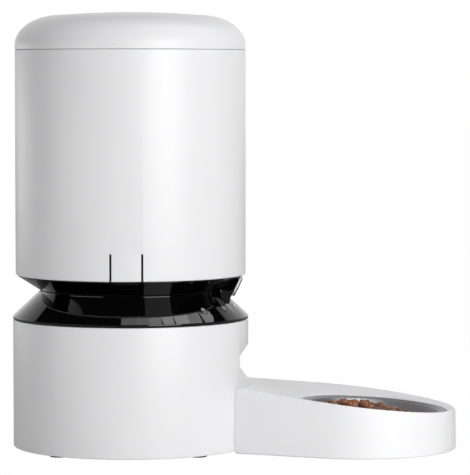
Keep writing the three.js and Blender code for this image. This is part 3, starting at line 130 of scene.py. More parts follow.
world = bpy.data.worlds.new("studio")
world.use_nodes = True
bpy.context.scene.world = world
sky = world.node_tree
sky.nodes.clear()
direction = node(sky, "SeparateXYZ", {0: node(sky, "TexCoord").outputs["Generated"]}).outputs
beyond = ramp(sky, direction["Y"], *mirrored_fade)
above = ramp(sky, direction["Z"], ceiling_sine - ceiling_blur, ceiling_sine + ceiling_blur,
             interpolation_type="SMOOTHSTEP")
mirrored_sky = mixed(sky, above, beyond, ceiling_colour)
ambient = mixed(sky, ramp(sky, direction["Z"]), ambient_colour, overhead_colour)
background = node(sky, "Background", {"Color": shown(sky, backdrop_colour, mirrored_sky, ambient)})
node(sky, "OutputWorld", {"Surface": background.outputs[0]})


def softbox(name, place, target, width, length, radiance, beam=180, mirrored=True):
    """An even rectangular lamp, given by the brightness of its face and the spread of its beam."""
    lamp = added(name, bpy.data.lights.new(name, "AREA"))
    lamp.data.shape = "RECTANGLE"
    lamp.data.size = width
    lamp.data.size_y = length
    lamp.data.energy = radiance * math.pi * width * length
    lamp.data.spread = math.radians(beam)
    lamp.visible_glossy = mirrored
    lamp.location = place
    lamp.rotation_euler = (Vector(target) - Vector(place)).to_track_quat("-Z", "Y").to_euler()


softbox("key_softbox", (0.77, -1.23, 0.44), (-0.08, 0, 0.13), 0.9, 0.95, 5.3)
softbox("low_strip_left", (-1.72, -1.15, 0.2), (-0.084, 0, 0.13), 1.7, 0.12, 4.6)
softbox("rim_strip_left", (-1.45, 0.95, 0.2), (-0.084, 0, 0.2), 1.1, 0.35, 1.9)
softbox("top_softbox", (-0.35, -0.35, 1.9), (-0.084, 0, 0.33), 0.35, 0.35, 6.0, mirrored=False)
softbox("tray_softbox", (0.3, -0.7, 0.62), (0.137, -0.02, 0.03), 0.1, 0.1, 0.38, beam=18, mirrored=False)
overhead_height = 1.37
for k, (x_low, x_high, y, length, radiance) in enumerate((
    (-0.2, 0.0, -0.16, 0.22, 1.75),
    (0.0, 0.16, -0.13, 0.22, 2.0),
    (0.16, 0.32, -0.07, 0.24, 2.9),
    (0.32, 0.48, 0.03, 0.28, 4.0),
    (0.48, 0.68, 0.17, 0.34, 4.1),
    (0.68, 0.85, 0.42, 0.55, 2.4),
    (0.85, 1.0, 0.7, 0.45, 2.4),
)):
    place = ((x_low + x_high) / 2, y, overhead_height)
    softbox(f"overhead_softbox_{k + 1}", place, (place[0], y, 0), x_high - x_low, length, radiance)

bpy.ops.mesh.primitive_plane_add(size=floor_size)
floor = bpy.context.object
floor.name = "floor"
floor_paint = bpy.data.materials.new("white_sweep")
floor_paint.use_nodes = True
sweep = floor_paint.node_tree
sweep.nodes.clear()
matt = node(sweep, "BsdfDiffuse", {"Color": floor_colour})
glow = node(sweep, "Emission", {"Color": shown(sweep, backdrop_colour, mirrored_floor, backdrop_colour)})
path = node(sweep, "LightPath").outputs
seen = maths(sweep, "MAXIMUM", path["Is Camera Ray"], path["Is Glossy Ray"])
seen = maths(sweep, "MAXIMUM", seen, path["Is Transmission Ray"])
share = maths(sweep, "MULTIPLY", seen, floor_reach_share)
blend = node(sweep, "MixShader", {0: share, 1: matt.outputs[0], 2: glow.outputs[0]})
node(sweep, "OutputMaterial", {"Surface": blend.outputs[0]})
floor.data.materials.append(floor_paint)

# Base shell: one injection-moulded cylinder of satin white ABS, open at the top and bottom.
# Its front has a flat food outlet in a recess with rounded corners, two slots for the tray's hooks, and
# its back has the slot of the power inlet. It is screwed to the base plate from below.
base_low, base_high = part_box("base_shell")
axis_x = (base_low.x + base_high.x) / 2
feeder_axis = Matrix.Translation((axis_x, 0, 0))
base_radius = base_high.y
shell_wall = 0.0026
round_steps = 256
overrun = 0.004
play = 0.0003
abs_white = (0.80, 0.80, 0.808)


def softened(outline, steps=5):
    """A closed outline of (across, up, radius) corners, with each corner rounded to its radius."""
    soft = []
    for i, (x, y, radius) in enumerate(outline):
        corner = Vector((x, y))
        if radius <= 0:
            soft.append((x, y))
            continue
        before = (Vector(outline[i - 1][:2]) - corner).normalized()
        after = (Vector(outline[(i + 1) % len(outline)][:2]) - corner).normalized()
        half = before.angle(after) / 2
        middle = corner + (before + after).normalized() * radius / math.sin(half)
        start = corner + before * radius / math.tan(half) - middle
        end = corner + after * radius / math.tan(half) - middle
        turn = math.atan2(start.x * end.y - start.y * end.x, start.dot(end))
        for k in range(steps + 1):
            angle = turn * k / steps
            cos, sin = math.cos(angle), math.sin(angle)
            soft.append((middle.x + start.x * cos - start.y * sin, middle.y + start.x * sin + start.y * cos))
    return soft


def solid(name, corners, faces):
    """A new piece from corners and faces, with its doubles merged and its faces pointing outwards."""
    mesh = bpy.data.meshes.new(name)
    mesh.from_pydata([tuple(c) for c in corners], [], faces)
    shape = bmesh.new()
    shape.from_mesh(mesh)
    bmesh.ops.remove_doubles(shape, verts=shape.verts, dist=1e-7)
    bmesh.ops.recalc_face_normals(shape, faces=shape.faces)
    shape.to_mesh(mesh)
    shape.free()
    return added(name, mesh)


def turned(name, profile, place=feeder_axis, steps=round_steps):
    """A body of revolution from a closed profile of (radius, height) points."""
    corners, starts = [], []
    for radius, up in profile:
        count = steps if radius > 1e-7 else 1
        starts.append((len(corners), count))
        for k in range(count):
            angle = 2 * math.pi * k / steps
            corners.append(place @ Vector((radius * math.cos(angle), radius * math.sin(angle), up)))
    faces = []
    for (a, a_count), (b, b_count) in zip(starts, starts[1:] + starts[:1]):
        for k in range(steps):
            face = [a + k % a_count, a + (k + 1) % a_count, b + (k + 1) % b_count, b + k % b_count]
            face = list(dict.fromkeys(face))
            if len(face) > 2:
                faces.append(face)
    return solid(name, corners, faces)


def lathed(name, corners, place=feeder_axis, steps=round_steps, edge_steps=5):
    """A body of revolution from a closed outline of (radius, height, edge radius) corners."""
    return turned(name, softened(corners, edge_steps), place, steps)


def drum(name, radius, low, high, place=feeder_axis, steps=48, edges=(0, 0)):
    """A cylinder, with its lower and upper edge rounded to the given radii."""
    corners = [(0, low, 0), (radius, low, edges[0]), (radius, high, edges[1]), (0, high, 0)]
    return lathed(name, corners, place, steps)


def tube(name, inner, outer, low, high, edges=(0, 0, 0, 0), place=feeder_axis, edge_steps=5):
    """A round wall, with the radii of its edges given from the lower inner one outwards and up."""
    corners = list(zip((inner, outer, outer, inner), (low, low, high, high), edges))
    return lathed(name, corners, place, edge_steps=edge_steps)


def band(count, low, high, joints=None):
    """The faces between two loops of corners, which start at the given numbers."""
    return [[low + k, low + (k + 1) % count, high + (k + 1) % count, high + k] for k in range(joints or count)]


def prism(name, outline, low, high, place):
    """An outline of (x, y) points drawn out along z from low to high, then set in place."""
    count = len(outline)
    corners = [place @ Vector((x, y, z)) for z in (low, high) for x, y in outline]
    faces = [list(range(count)), list(range(count, 2 * count)), *band(count, 0, count)]
    return solid(name, corners, faces)


def about(half, centre=0.0):
    """The two ends of a span, given by its half width and its middle."""
    return centre - half, centre + half


def slab(name, x_span, y_span, z_span, radius=0.0, place=Matrix.Identity(4), steps=5):
    """A box between three spans, with its four upright edges rounded, set in place."""
    (left, right), (near, far) = x_span, y_span
    corners = [(left, near, radius), (right, near, radius), (right, far, radius), (left, far, radius)]
    return prism(name, softened(corners, steps), *z_span, place)


def block(name, low, high):
    """A plain box between two corners, for cuts and small blanks."""
    return slab(name, *zip(low, high))


def applied(piece):
    """Turns a piece's modifiers into its mesh."""
    graph = bpy.context.evaluated_depsgraph_get()
    mesh = bpy.data.meshes.new_from_object(piece.evaluated_get(graph))
    piece.modifiers.clear()
    piece.data = mesh
    return piece


def carved(piece, *tools, operation="DIFFERENCE"):
    """Cuts the tools from a piece, or joins them to it, and removes them."""
    for tool in tools:
        step = piece.modifiers.new(tool.name, "BOOLEAN")
        step.object = tool
        step.operation = operation
        step.solver = "EXACT"
    applied(piece)
    for tool in tools:
        bpy.data.objects.remove(tool)
    return piece


def eased(piece, width, steps=2):
    """Breaks a piece's sharp edges, as every moulded or stamped edge is."""
    bevel = piece.modifiers.new("edges", "BEVEL")
    bevel.width = width
    bevel.segments = steps
    bevel.limit_method = "ANGLE"
    bevel.angle_limit = math.radians(40)
    bevel.use_clamp_overlap = True
    bevel.miter_outer = "MITER_ARC"
    return applied(piece)


def dress(piece, material, slot, body, *replaced, edge=0.0, crease=33):
    """Eases a piece's edges, shades it, gives it its material, and lets it ride in place of its CAD nodes. The slot
    is not used.
    """
    if edge:
        eased(piece, edge)
    piece.data.materials.clear()
    piece.data.materials.append(material)
    for face in piece.data.polygons:
        face.use_smooth = True
    piece.data.set_sharp_from_angle(angle=math.radians(crease))
    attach(piece, body)
    if replaced:
        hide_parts(*replaced)
    return piece


def moulded(name, colour, roughness, grain, depth, mottle=0.03, sheen=0.05, metallic=0.0):
    """A moulded or pressed finish: faint broad mottling, uneven gloss, and a fine grain of the given size."""
    material = bpy.data.materials.new(name)
    material.use_nodes = True
    tree = material.node_tree
    surface = tree.nodes["Principled BSDF"].inputs
    surface["Metallic"].default_value = metallic
    where = node(tree, "TexCoord").outputs["Object"]
    broad = node(tree, "TexNoise", {"Scale": 22, "Detail": 3, "Vector": where}).outputs["Fac"]
    darker, lighter = [(*[min(1, c * share) for c in colour], 1) for share in (1 - mottle, 1 + mottle)]
    link(tree, mixed(tree, broad, darker, lighter), surface["Base Color"])
    gloss = ramp(tree, broad, 0, 1, roughness * (1 - sheen), roughness * (1 + sheen))
    link(tree, gloss, surface["Roughness"])
    if depth > 0:
        fine = node(tree, "TexNoise", {"Scale": 1 / grain, "Detail": 2, "Vector": where}).outputs["Fac"]
        bump = node(tree, "Bump", {"Distance": depth, "Strength": 0.5, "Height": fine})
        link(tree, bump.outputs["Normal"], surface["Normal"])
    return material


white_abs = moulded("satin_white_abs", abs_white, 0.36, 0.0006, 0.000004, mottle=0.006)

outlet_flat = 0.0881
outlet_plate = 0.0026
outlet_half_width = 0.021
outlet_low, outlet_high = 0.0624, 0.0774
recess_floor, recess_roof = 0.0612, 0.078
recess_floor_drop, recess_roof_rise = 0.0059, 0.0071
recess_border = 0.005
hook_slot_depth = 0.01
hook_near, hook_far = 0.0197, 0.0283
hook_low, hook_high = 0.0087, 0.0173
past_base = base_radius + overrun
recess_run = base_radius - outlet_flat


def along_y(name, outline, half_width, radius_steps=8):
    """An outline of (x, z, radius) corners from the feeder's axis, drawn out across the feeder."""
    sideways = feeder_axis @ Matrix.Rotation(math.pi / 2, 4, "X")
    return prism(name, softened(outline, radius_steps), -half_width, half_width, sideways)


base_shell = tube("base_shell_visual", base_radius - shell_wall, base_radius, base_low.z, base_high.z,
                  (0.0002, 0.0012, 0.0006, 0.0003))
niche_half = math.sqrt(base_radius ** 2 - outlet_flat ** 2) + 0.0004
niche_back, niche_front = outlet_flat - outlet_plate, base_radius - shell_wall / 2
niche_bottom = recess_floor - recess_floor_drop - recess_border
niche_top = recess_roof + recess_roof_rise + recess_border
outlet_back = along_y("outlet_back", [
    (niche_back, niche_bottom, 0), (niche_front, niche_bottom, 0),
    (niche_front, niche_top, 0), (niche_back, niche_top, 0),
], niche_half)
inside_base = drum("inside_base", niche_front, base_low.z, base_high.z, steps=round_steps)
carved(outlet_back, inside_base, operation="INTERSECT")
carved(base_shell, outlet_back, operation="UNION")
floor_slope = recess_floor_drop / recess_run
roof_slope = recess_roof_rise / recess_run
past_run = past_base - outlet_flat
recess = along_y("recess", [
    (outlet_flat, recess_floor, 0.0035),
    (past_base, recess_floor - past_run * floor_slope, 0),
    (past_base, recess_roof + past_run * roof_slope, 0),
    (outlet_flat, recess_roof, 0.0055),
], base_radius)
turned_to_front = Matrix(((0, 0, 1, 0), (1, 0, 0, 0), (0, 1, 0, 0), (0, 0, 0, 1)))
facing_front = feeder_axis @ turned_to_front
outlet = slab("outlet", about(outlet_half_width), (outlet_low, outlet_high), (niche_back - overrun, past_base),
              0.0025, facing_front)
hook_slot_back = axis_x + outlet_flat - hook_slot_depth
hook_slots = [
    block("hook_slot", (hook_slot_back, low, hook_low), (axis_x + past_base, high, hook_high))
    for low, high in ((-hook_far, -hook_near), (hook_near, hook_far))
]
inlet_half_width, inlet_half_height, inlet_height = 0.0048, 0.002, 0.018
inlet = slab("inlet", about(inlet_half_width), about(inlet_half_height, inlet_height),
             (-past_base, -base_radius + 2 * shell_wall), 0.0017, facing_front)
carved(base_shell, recess, outlet, *hook_slots, inlet)
dress(base_shell, white_abs, "white_abs", "base", "base_shell", edge=0.0004)

# Control ring: the lower black cone of the waist, moulded in piano black ABS and plugged into the base shell
# by its spigot. It has two key holes and a light hole on its right, and a window for the camera housing.
ring_low, ring_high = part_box("control_ring")
ring_lip_low = base_high.z + play
ring_cone_low = ring_lip_low + 0.0021
waist_radius = 0.0738
waist_height = ring_high.z
waist_lip = 0.0007
ring_wall = 0.0022
shelf_radius = 0.06
spigot_outer = base_radius - shell_wall - play
spigot_inner = spigot_outer - 0.002
cone_run = base_radius - waist_radius
cone_rise = waist_height - ring_cone_low
cone_slant = math.hypot(cone_run, cone_rise)
through_wall = ring_wall * cone_slant / cone_rise
spigot_top = ring_cone_low + (base_radius - through_wall - spigot_inner) * cone_rise / cone_run
shelf_inner = base_radius - (waist_height - ring_wall - ring_cone_low) * cone_run / cone_rise - through_wall
piano_black = moulded("piano_black_abs", (0.0012, 0.0012, 0.0014), 0.035, 0.0008, 0, mottle=0.0, sheen=0.3)

control_ring = lathed("control_ring_visual", [
    (base_radius, ring_lip_low, 0.0004),
    (base_radius, ring_cone_low, 0.0006),
    (waist_radius, waist_height - waist_lip, 0.0002),
    (waist_radius, waist_height, 0.0004),
    (shelf_radius, waist_height, 0.0004),
    (shelf_radius, waist_height - ring_wall, 0),
    (shelf_inner, waist_height - ring_wall, 0),
    (spigot_inner, spigot_top, 0),
    (spigot_inner, ring_low.z, 0.0003),
    (spigot_outer, ring_low.z, 0.0005),
    (spigot_outer, ring_lip_low, 0),
])

key_ring_radius = 0.0855
key_angles = {"feed_key": -46, "lock_key": -28.5}
light_angle = -12
key_radius = 0.0043
light_radius = 0.0016
key_play = 0.00012
key_hole_depth = 0.008


def on_cone(angle):
    """The place of a key on the cone: its z axis points out of the cone, and its y axis points uphill."""
    outward = Vector((math.cos(math.radians(angle)), math.sin(math.radians(angle)), 0))
    up = Vector((0, 0, 1))
    normal = (outward * cone_rise + up * cone_run).normalized()
    uphill = (up * cone_rise - outward * cone_run).normalized()
    across = uphill.cross(normal)
    spot = outward * key_ring_radius
    spot.z = ring_cone_low + (base_radius - key_ring_radius) * cone_rise / cone_run
    place = Matrix((across, uphill, normal)).transposed().to_4x4()
    place.translation = spot + Vector((axis_x, 0, 0))
    return place


key_holes = [
    drum("key_hole", key_radius + key_play, -key_hole_depth, overrun, on_cone(angle), 64)
    for angle in key_angles.values()
]
light_hole = drum("light_hole", light_radius + key_play, -key_hole_depth, overrun, on_cone(light_angle))
camera_tilt = math.radians(25.8)
camera_centre = Vector((0.0848, 0, 0.1322))
housing_half_width = 0.028
housing_back = 0.073
housing_low, housing_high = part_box("camera_housing")


def housing_outline(margin, corner=0.0):
    """The side view of the camera housing: its front leans out along the hopper skirt."""
    def lean(z):
        return camera_centre.x + (z - camera_centre.z) * math.tan(camera_tilt)
    top, bottom, back = housing_high.z + margin, housing_low.z - margin, housing_back - margin
    return [(lean(bottom) + margin, bottom, corner), (lean(top) + margin, top, corner),
            (back, top, 0), (back, bottom, 0)]


camera_window = along_y("camera_window", housing_outline(play), housing_half_width + play)
carved(control_ring, camera_window)
eased(control_ring, 0.00025)
carved(control_ring, *key_holes, light_hole)
dress(control_ring, piano_black, "black_gloss", "base", "control_ring")

# Keys: two round push keys of the same black plastic, whose faces follow the cone, held by a flange behind it.
# Each has a pale printed sign: a bowl with two pieces of food, and a padlock.
key_rise = 0.00005
key_rings = 8
key_flange_width = 0.001
key_stem_radius = 0.002
key_flange_top = -(ring_wall + 0.0006)
key_flange_bottom = key_flange_top - 0.001
key_stem_bottom = key_flange_bottom - 0.003
print_thickness = 0.00006
followed_depth = 0.0005
sign_width = 0.0004
key_ink = moulded("pale_key_ink", (0.62, 0.63, 0.64), 0.4, 0.0004, 0.00001)


def stroke(points, closed=False):
    """A flat printed line through the points, as one strip of quads."""
    path = [Vector(p) for p in points]
    count = len(path)
    left, right = [], []
    for i, point in enumerate(path):
        before = path[i - 1] if closed or i else point
        after = path[(i + 1) % count] if closed or i + 1 < count else point
        across = Vector((-(after - before).y, (after - before).x)).normalized() * sign_width / 2
        left.append(point + across)
        right.append(point - across)
    return left + right, band(count, 0, count, count if closed else count - 1)


def arc(centre, radius, start, end, steps=12):
    """Points of an arc, with its angles in degrees."""
    turns = [math.radians(start + (end - start) * k / steps) for k in range(steps + 1)]
    return [(centre[0] + radius * math.cos(t), centre[1] + radius * math.sin(t)) for t in turns]


def printed(name, strokes, place):
    """A thin raised print made of several strokes, lying on the face of a key."""
    corners, faces = [], []
    for flat, quads in strokes:
        start = len(corners)
        count = len(flat)
        for up in (0, print_thickness):
            corners += [place @ Vector((p.x, p.y, key_rise + up)) for p in flat]
        faces += [[start + k for k in quad] for quad in quads]
        faces += [[start + count + k for k in quad] for quad in quads]
        sides = [tuple(sorted(side)) for quad in quads for side in zip(quad, quad[1:] + quad[:1])]
        faces += [[start + a, start + b, start + count + b, start + count + a]
                  for a, b in sides if sides.count((a, b)) == 1]
    return solid(name, corners, faces)


def follow_cone(piece, place):
    """Lowers the outer face of a piece on the cone, so that the flat face drawn takes the cone's own curve."""
    back = place.inverted()
    outward = place.col[2].xyz
    slope = cone_run / cone_rise
    normal_share = 1 / math.hypot(1, slope)
    for corner in piece.data.vertices:
        if (back @ corner.co).z > -followed_depth:
            from_axis = corner.co - Vector((axis_x, 0, 0))
            on_wall = base_radius - (corner.co.z - ring_cone_low) * slope
            tangent = (corner.co - place.translation).dot(outward)
            corner.co += outward * ((on_wall - from_axis.xy.length) * normal_share + tangent)
    return piece


signs = {
    "feed_key": [
        stroke(arc((0, 0.0004), 0.0017, 180, 360)),
        stroke([(-0.0021, 0.0004), (0.0021, 0.0004)]),
        stroke(arc((-0.0007, 0.0014), 0.0003, 0, 330), True),
        stroke(arc((0.0007, 0.0014), 0.0003, 0, 330), True),
    ],
    "lock_key": [
        stroke([(-0.0013, -0.0014), (0.0013, -0.0014), (0.0013, 0.0004), (-0.0013, 0.0004)], True),
        stroke([(-0.0008, 0.0004), *arc((0, 0.0008), 0.0008, 180, 0), (0.0008, 0.0004)]),
        stroke([(0, -0.0008), (0, -0.0002)]),
    ],
}
for name, angle in key_angles.items():
    key = lathed(name + "_visual", [
        *[(key_radius * k / key_rings, key_rise, 0) for k in range(key_rings)],
        (key_radius, key_rise, 0.0001), (key_radius, key_flange_top, 0),
        (key_radius + key_flange_width, key_flange_top, 0),
        (key_radius + key_flange_width, key_flange_bottom, 0.0002),
        (key_stem_radius, key_flange_bottom, 0), (key_stem_radius, key_stem_bottom, 0.0003),
        (0, key_stem_bottom, 0),
    ], on_cone(angle), 64)
    dress(follow_cone(key, on_cone(angle)), piano_black, "black_gloss", name, name)
    sign = follow_cone(printed(name + "_sign", signs[name], on_cone(angle)), on_cone(angle))
    dress(sign, key_ink, "black_gloss", name)

# Status light: a frosted light pipe, moulded in clear plastic and pushed into its hole in the control ring.
# It ends a hair above the cone and takes its light from a small lamp on the key board.
light_bottom = -0.0074
frosted = moulded("frosted_light_pipe", (0.66, 0.74, 0.78), 0.35, 0.0005, 0.00002)
light_pipe = lathed("status_light_visual", [
    (0, light_bottom, 0), (light_radius, light_bottom, 0.0001), (light_radius, 0.0002, 0.0002), (0, 0.0003, 0),
], on_cone(light_angle), 48)
dress(light_pipe, frosted, "light_pipe", "base", "status_light")

# Key board: a narrow circuit board behind the keys, screwed to two posts of the control ring.
# The main board lies over the battery bay. Both are green glass fibre with fine copper tracks.
def circuit_board(name):
    """Green solder mask over copper tracks, which show as a slightly lighter maze."""
    material = moulded(name, (0.012, 0.09, 0.045), 0.35, 0.0005, 0.00001)
    tree = material.node_tree
    where = node(tree, "TexCoord").outputs["Object"]
    cells = node(tree, "TexVoronoi", {"Scale": 420, "Vector": where},
                 feature="DISTANCE_TO_EDGE", distance="CHEBYCHEV")
    track = ramp(tree, cells.outputs["Distance"], 0.05, 0.09)
    mask = mixed(tree, track, (0.03, 0.2, 0.09, 1), (0.01, 0.08, 0.04, 1))
    link(tree, mask, tree.nodes["Principled BSDF"].inputs["Base Color"])
    return material


def paint(material, *names):
    """Gives CAD nodes whose shape is right their material."""
    for name in names:
        nodes[name].data.materials.clear()
        nodes[name].data.materials.append(material)


board_green = circuit_board("solder_mask")
paint(board_green, "key_board", "main_board", "camera_board")

# Inner frame: a deep well with a flange, moulded in black ABS, on four posts that stand on the base plate.
# The well takes the portion chamber, and its floor has the food inlet and the hole of the drive shaft.
frame_low, frame_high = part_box("inner_frame")
well_radius = 0.0486
frame_wall = 0.002
frame_floor = 0.0025
frame_flange = 0.0024
flange_radius = 0.072
well_depth = 0.0267
post_radius = 0.005
post_place = 0.048
shaft_hole_radius = 0.0046
food_half_angle = 27
frame_food_near, frame_food_far = 0.0209, 0.045
well_floor = frame_high.z - well_depth
black_abs = moulded("matt_black_abs", (0.012, 0.012, 0.013), 0.45, 0.0005, 0.00002, mottle=0.08)


def at(x, y):
    """A place on the feeder, measured from its axis."""
    return Matrix.Translation((axis_x + x, y, 0))


def sector(name, near, far, low, high):
    """A wedge of a ring in front of the feeder's axis, for the food outlets."""
    half = food_half_angle
    outline = arc((0, 0), near, -half, half) + arc((0, 0), far, half, -half)
    return prism(name, outline, low, high, feeder_axis)


inner_frame = lathed("inner_frame_visual", [
    (0, well_floor - frame_floor, 0),
    (well_radius + frame_wall, well_floor - frame_floor, 0.0008),
    (well_radius + frame_wall, frame_high.z - frame_flange, 0.001),
    (flange_radius, frame_high.z - frame_flange, 0.0004),
    (flange_radius, frame_high.z, 0.0006),
    (well_radius, frame_high.z, 0.0012),
    (well_radius, well_floor, 0.001),
    (0, well_floor, 0),
], steps=128)
posts = [
    drum("frame_post", post_radius, frame_low.z, frame_high.z - frame_flange / 2,
         at(x * post_place, y * post_place), 24, (0.0004, 0))
    for x in (-1, 1) for y in (-1, 1)
]
carved(inner_frame, *posts, operation="UNION")
carved(
    inner_frame,
    sector("food_inlet", frame_food_near, frame_food_far, well_floor - 2 * overrun, well_floor + overrun),
    drum("shaft_hole", shaft_hole_radius, *about(overrun, well_floor)),
)
dress(inner_frame, black_abs, "black_plastic", "base", "inner_frame", edge=0.0003)

# Drive, chute and battery cells: hidden pieces whose solids are right as they are.
# The food chute and the gears are moulded, the motor, pinion and contacts are steel, the cells have sleeves.
lining = moulded("matt_lining_plastic", (0.66, 0.67, 0.68), 0.42, 0.0007, 0.00001, mottle=0.015)
acetal = moulded("acetal", (0.72, 0.68, 0.57), 0.4, 0.0004, 0.000008)
plain_steel = moulded("plain_steel", (0.55, 0.55, 0.56), 0.28, 0.0004, 0.000006, sheen=0.2, metallic=1.0)
cell_sleeve = moulded("battery_sleeve", (0.2, 0.21, 0.23), 0.3, 0.002, 0.00001, metallic=0.6)
paint(lining, "food_chute")
paint(acetal, "output_gear", "idler_gear")
paint(plain_steel, "motor", "motor_pinion", "battery_contact_right", "battery_contact_left")
paint(black_abs, "gearbox_case", "gearbox_cover", "speaker")
paint(cell_sleeve, "battery_cell_1", "battery_cell_2", "battery_cell_3")

# Base plate: black ABS, with the battery bay, the speaker grille and countersunk screw places.
# It closes the base from below, and four screws hold it to the inner frame's posts.
plate_low, plate_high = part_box("base_plate")
plate_thickness = 0.0025
plate_radius = base_radius - shell_wall - play
bay_half_x, bay_half_y = 0.0555, 0.03495
bay_wall = 0.002
bay_roof = plate_high.z - bay_wall
cover_thickness = 0.002
tongue_reach = 0.011
tongue_half = 0.006
speaker_low, speaker_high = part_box("speaker")
speaker_place = (speaker_low.y + speaker_high.y) / 2
grille_radius = 0.007
grille_hole_radius = 0.0014
screw_head_radius = 0.0028
screw_head_height = 0.0016
cover_screw_x = bay_half_x + (bay_wall + tongue_reach) / 2


def geometry_tree(name, inputs):
    """A new Geometry Nodes tree with the named inputs, the sockets that give them, and its output node."""
    tree = bpy.data.node_groups.new(name, "GeometryNodeTree")
    tree.interface.new_socket("Geometry", in_out="OUTPUT", socket_type="NodeSocketGeometry")
    for label, kind in inputs.items():
        tree.interface.new_socket(label, in_out="INPUT", socket_type="NodeSocket" + kind)
    return tree, tree.nodes.new("NodeGroupInput").outputs, tree.nodes.new("NodeGroupOutput")


def step(tree, kind, inputs=(), **settings):
    """A new node of a Geometry Nodes tree."""
    return node(tree, kind, inputs, "Geometry", **settings)


def grown(name, tree, values, base=None):
    """The mesh that a tree makes from its named values, as a plain piece."""
    piece = base or added(name, bpy.data.meshes.new(name))
    modifier = piece.modifiers.new(name, "NODES")
    modifier.node_group = tree
    for item in tree.interface.items_tree:
        if item.in_out == "INPUT" and item.name in values:
            modifier[item.identifier] = values[item.name]
    bpy.context.view_layer.update()
    applied(piece)
    piece.name = name
    return piece


def close_tree(tree, instances, given, made):
    """Ends a tree in real geometry with its material."""
    real = step(tree, "RealizeInstances", {"Geometry": instances.outputs["Instances"]})
    finish = step(tree, "SetMaterial", {"Geometry": real.outputs["Geometry"], "Material": given["Material"]})
    link(tree, finish.outputs["Geometry"], made.inputs["Geometry"])
    return tree


def copies(name, sizes, points):
    """A tree that sets a copy of a piece at each point that a function draws from the named sizes."""
    tree, given, made = geometry_tree(name, {
        "Piece": "Object", **sizes, "Centre": "Vector", "Material": "Material",
    })
    centred = step(tree, "Transform", {"Geometry": points(tree, given), "Translation": given["Centre"]})
    copy = step(tree, "ObjectInfo", {"Object": given["Piece"]})
    placed = step(tree, "InstanceOnPoints", {
        "Points": centred.outputs["Geometry"], "Instance": copy.outputs["Geometry"],
    })
    return close_tree(tree, placed, given, made)


def rectangle(tree, given):
    """The four corners of a rectangle."""
    inputs = {"Vertices X": 2, "Vertices Y": 2, "Size X": given["Spacing X"], "Size Y": given["Spacing Y"]}
    return step(tree, "MeshGrid", inputs).outputs["Mesh"]


def ring_and_middle(tree, given):
    """The points of a circle, and one more at its middle."""
    circle = step(tree, "MeshCircle", {"Vertices": given["Count"], "Radius": given["Radius"]}, fill_type="NONE")
    middle = step(tree, "MeshLine", {"Count": 1}, mode="OFFSET")
    both = step(tree, "JoinGeometry")
    for made in (circle, middle):
        link(tree, made.outputs["Mesh"], both.inputs["Geometry"])
    return both.outputs["Geometry"]


corners_tree = copies("four_corners", {"Spacing X": "Float", "Spacing Y": "Float"}, rectangle)
grille_tree = copies("round_array", {"Count": "Int", "Radius": "Float"}, ring_and_middle)

base_plate = drum("base_plate_visual", plate_radius, plate_low.z, plate_low.z + plate_thickness,
                  steps=round_steps, edges=(0.0005, 0.0003))
outer_x, outer_y = bay_half_x + bay_wall, bay_half_y + bay_wall
under_plate = plate_low.z - overrun
tongue_roof = plate_low.z + cover_thickness + play
bay = block("bay", (axis_x - outer_x, -outer_y, plate_low.z + plate_thickness / 2),
            (axis_x + outer_x, outer_y, plate_high.z))
bay_room = slab("bay_room", about(bay_half_x), about(bay_half_y), (under_plate, bay_roof), 0.0025, feeder_axis)
pad = slab("tongue_pad", (bay_half_x, outer_x + tongue_reach), about(tongue_half + bay_wall),
           (plate_low.z + plate_thickness / 2, tongue_roof + bay_wall), 0.001, feeder_axis)
tongue_room = slab("tongue_room", (bay_half_x - overrun, bay_half_x + tongue_reach + play),
                   about(tongue_half + play), (under_plate, tongue_roof), 0.0015, feeder_axis)
origin = Matrix.Identity(4)
hole = drum("grille_hole", grille_hole_radius, under_plate, plate_low.z + 2 * overrun, origin, 24)
grille = grown("speaker_grille", grille_tree, {
    "Piece": hole, "Count": 6, "Radius": grille_radius, "Centre": (axis_x, speaker_place, 0),
})
bpy.data.objects.remove(hole)
head_room = (screw_head_radius + play, under_plate, plate_low.z + screw_head_height + play)
screw_blank = drum("screw_place", *head_room, origin, 32)
screw_places = grown("screw_places", corners_tree, {
    "Piece": screw_blank, "Spacing X": 2 * post_place, "Spacing Y": 2 * post_place, "Centre": (axis_x, 0, 0),
})
bpy.data.objects.remove(screw_blank)
carved(base_plate, bay, pad, operation="UNION")
carved(base_plate, bay_room, tongue_room, grille, screw_places)
dress(base_plate, black_abs, "black_plastic", "base", "base_plate", edge=0.0003)

# Battery cover: a black ABS plate with shallow grip grooves, which closes the battery bay from below.
# It is moulded in one with its tongue, and one screw through the tongue holds it in the base plate.
groove_count = 5
groove_pitch, groove_width, groove_depth = 0.004, 0.0015, 0.0005
groove_half_length = 0.012
groove_start = 0.006
cover_low = plate_low.z
cover_span = (cover_low, cover_low + cover_thickness)
battery_cover = slab("battery_cover_visual", about(bay_half_x - play), about(bay_half_y - play), cover_span, 0.0022,
                     feeder_axis)
cover_tongue = slab("cover_tongue", (bay_half_x - bay_wall, bay_half_x + tongue_reach), about(tongue_half),
                    cover_span, 0.0012, feeder_axis)
carved(battery_cover, cover_tongue, operation="UNION")
grooves = []
for k in range(groove_count):
    start = -bay_half_x + groove_start + k * groove_pitch
    grooves.append(slab("grip_groove", (start, start + groove_width), about(groove_half_length),
                        (under_plate, cover_low + groove_depth), 0.0007, feeder_axis))
cover_screw_place = drum("cover_screw_place", *head_room, at(cover_screw_x, 0), 32)
carved(battery_cover, *grooves, cover_screw_place)
dress(battery_cover, black_abs, "black_plastic", "base", "battery_cover", edge=0.0003)

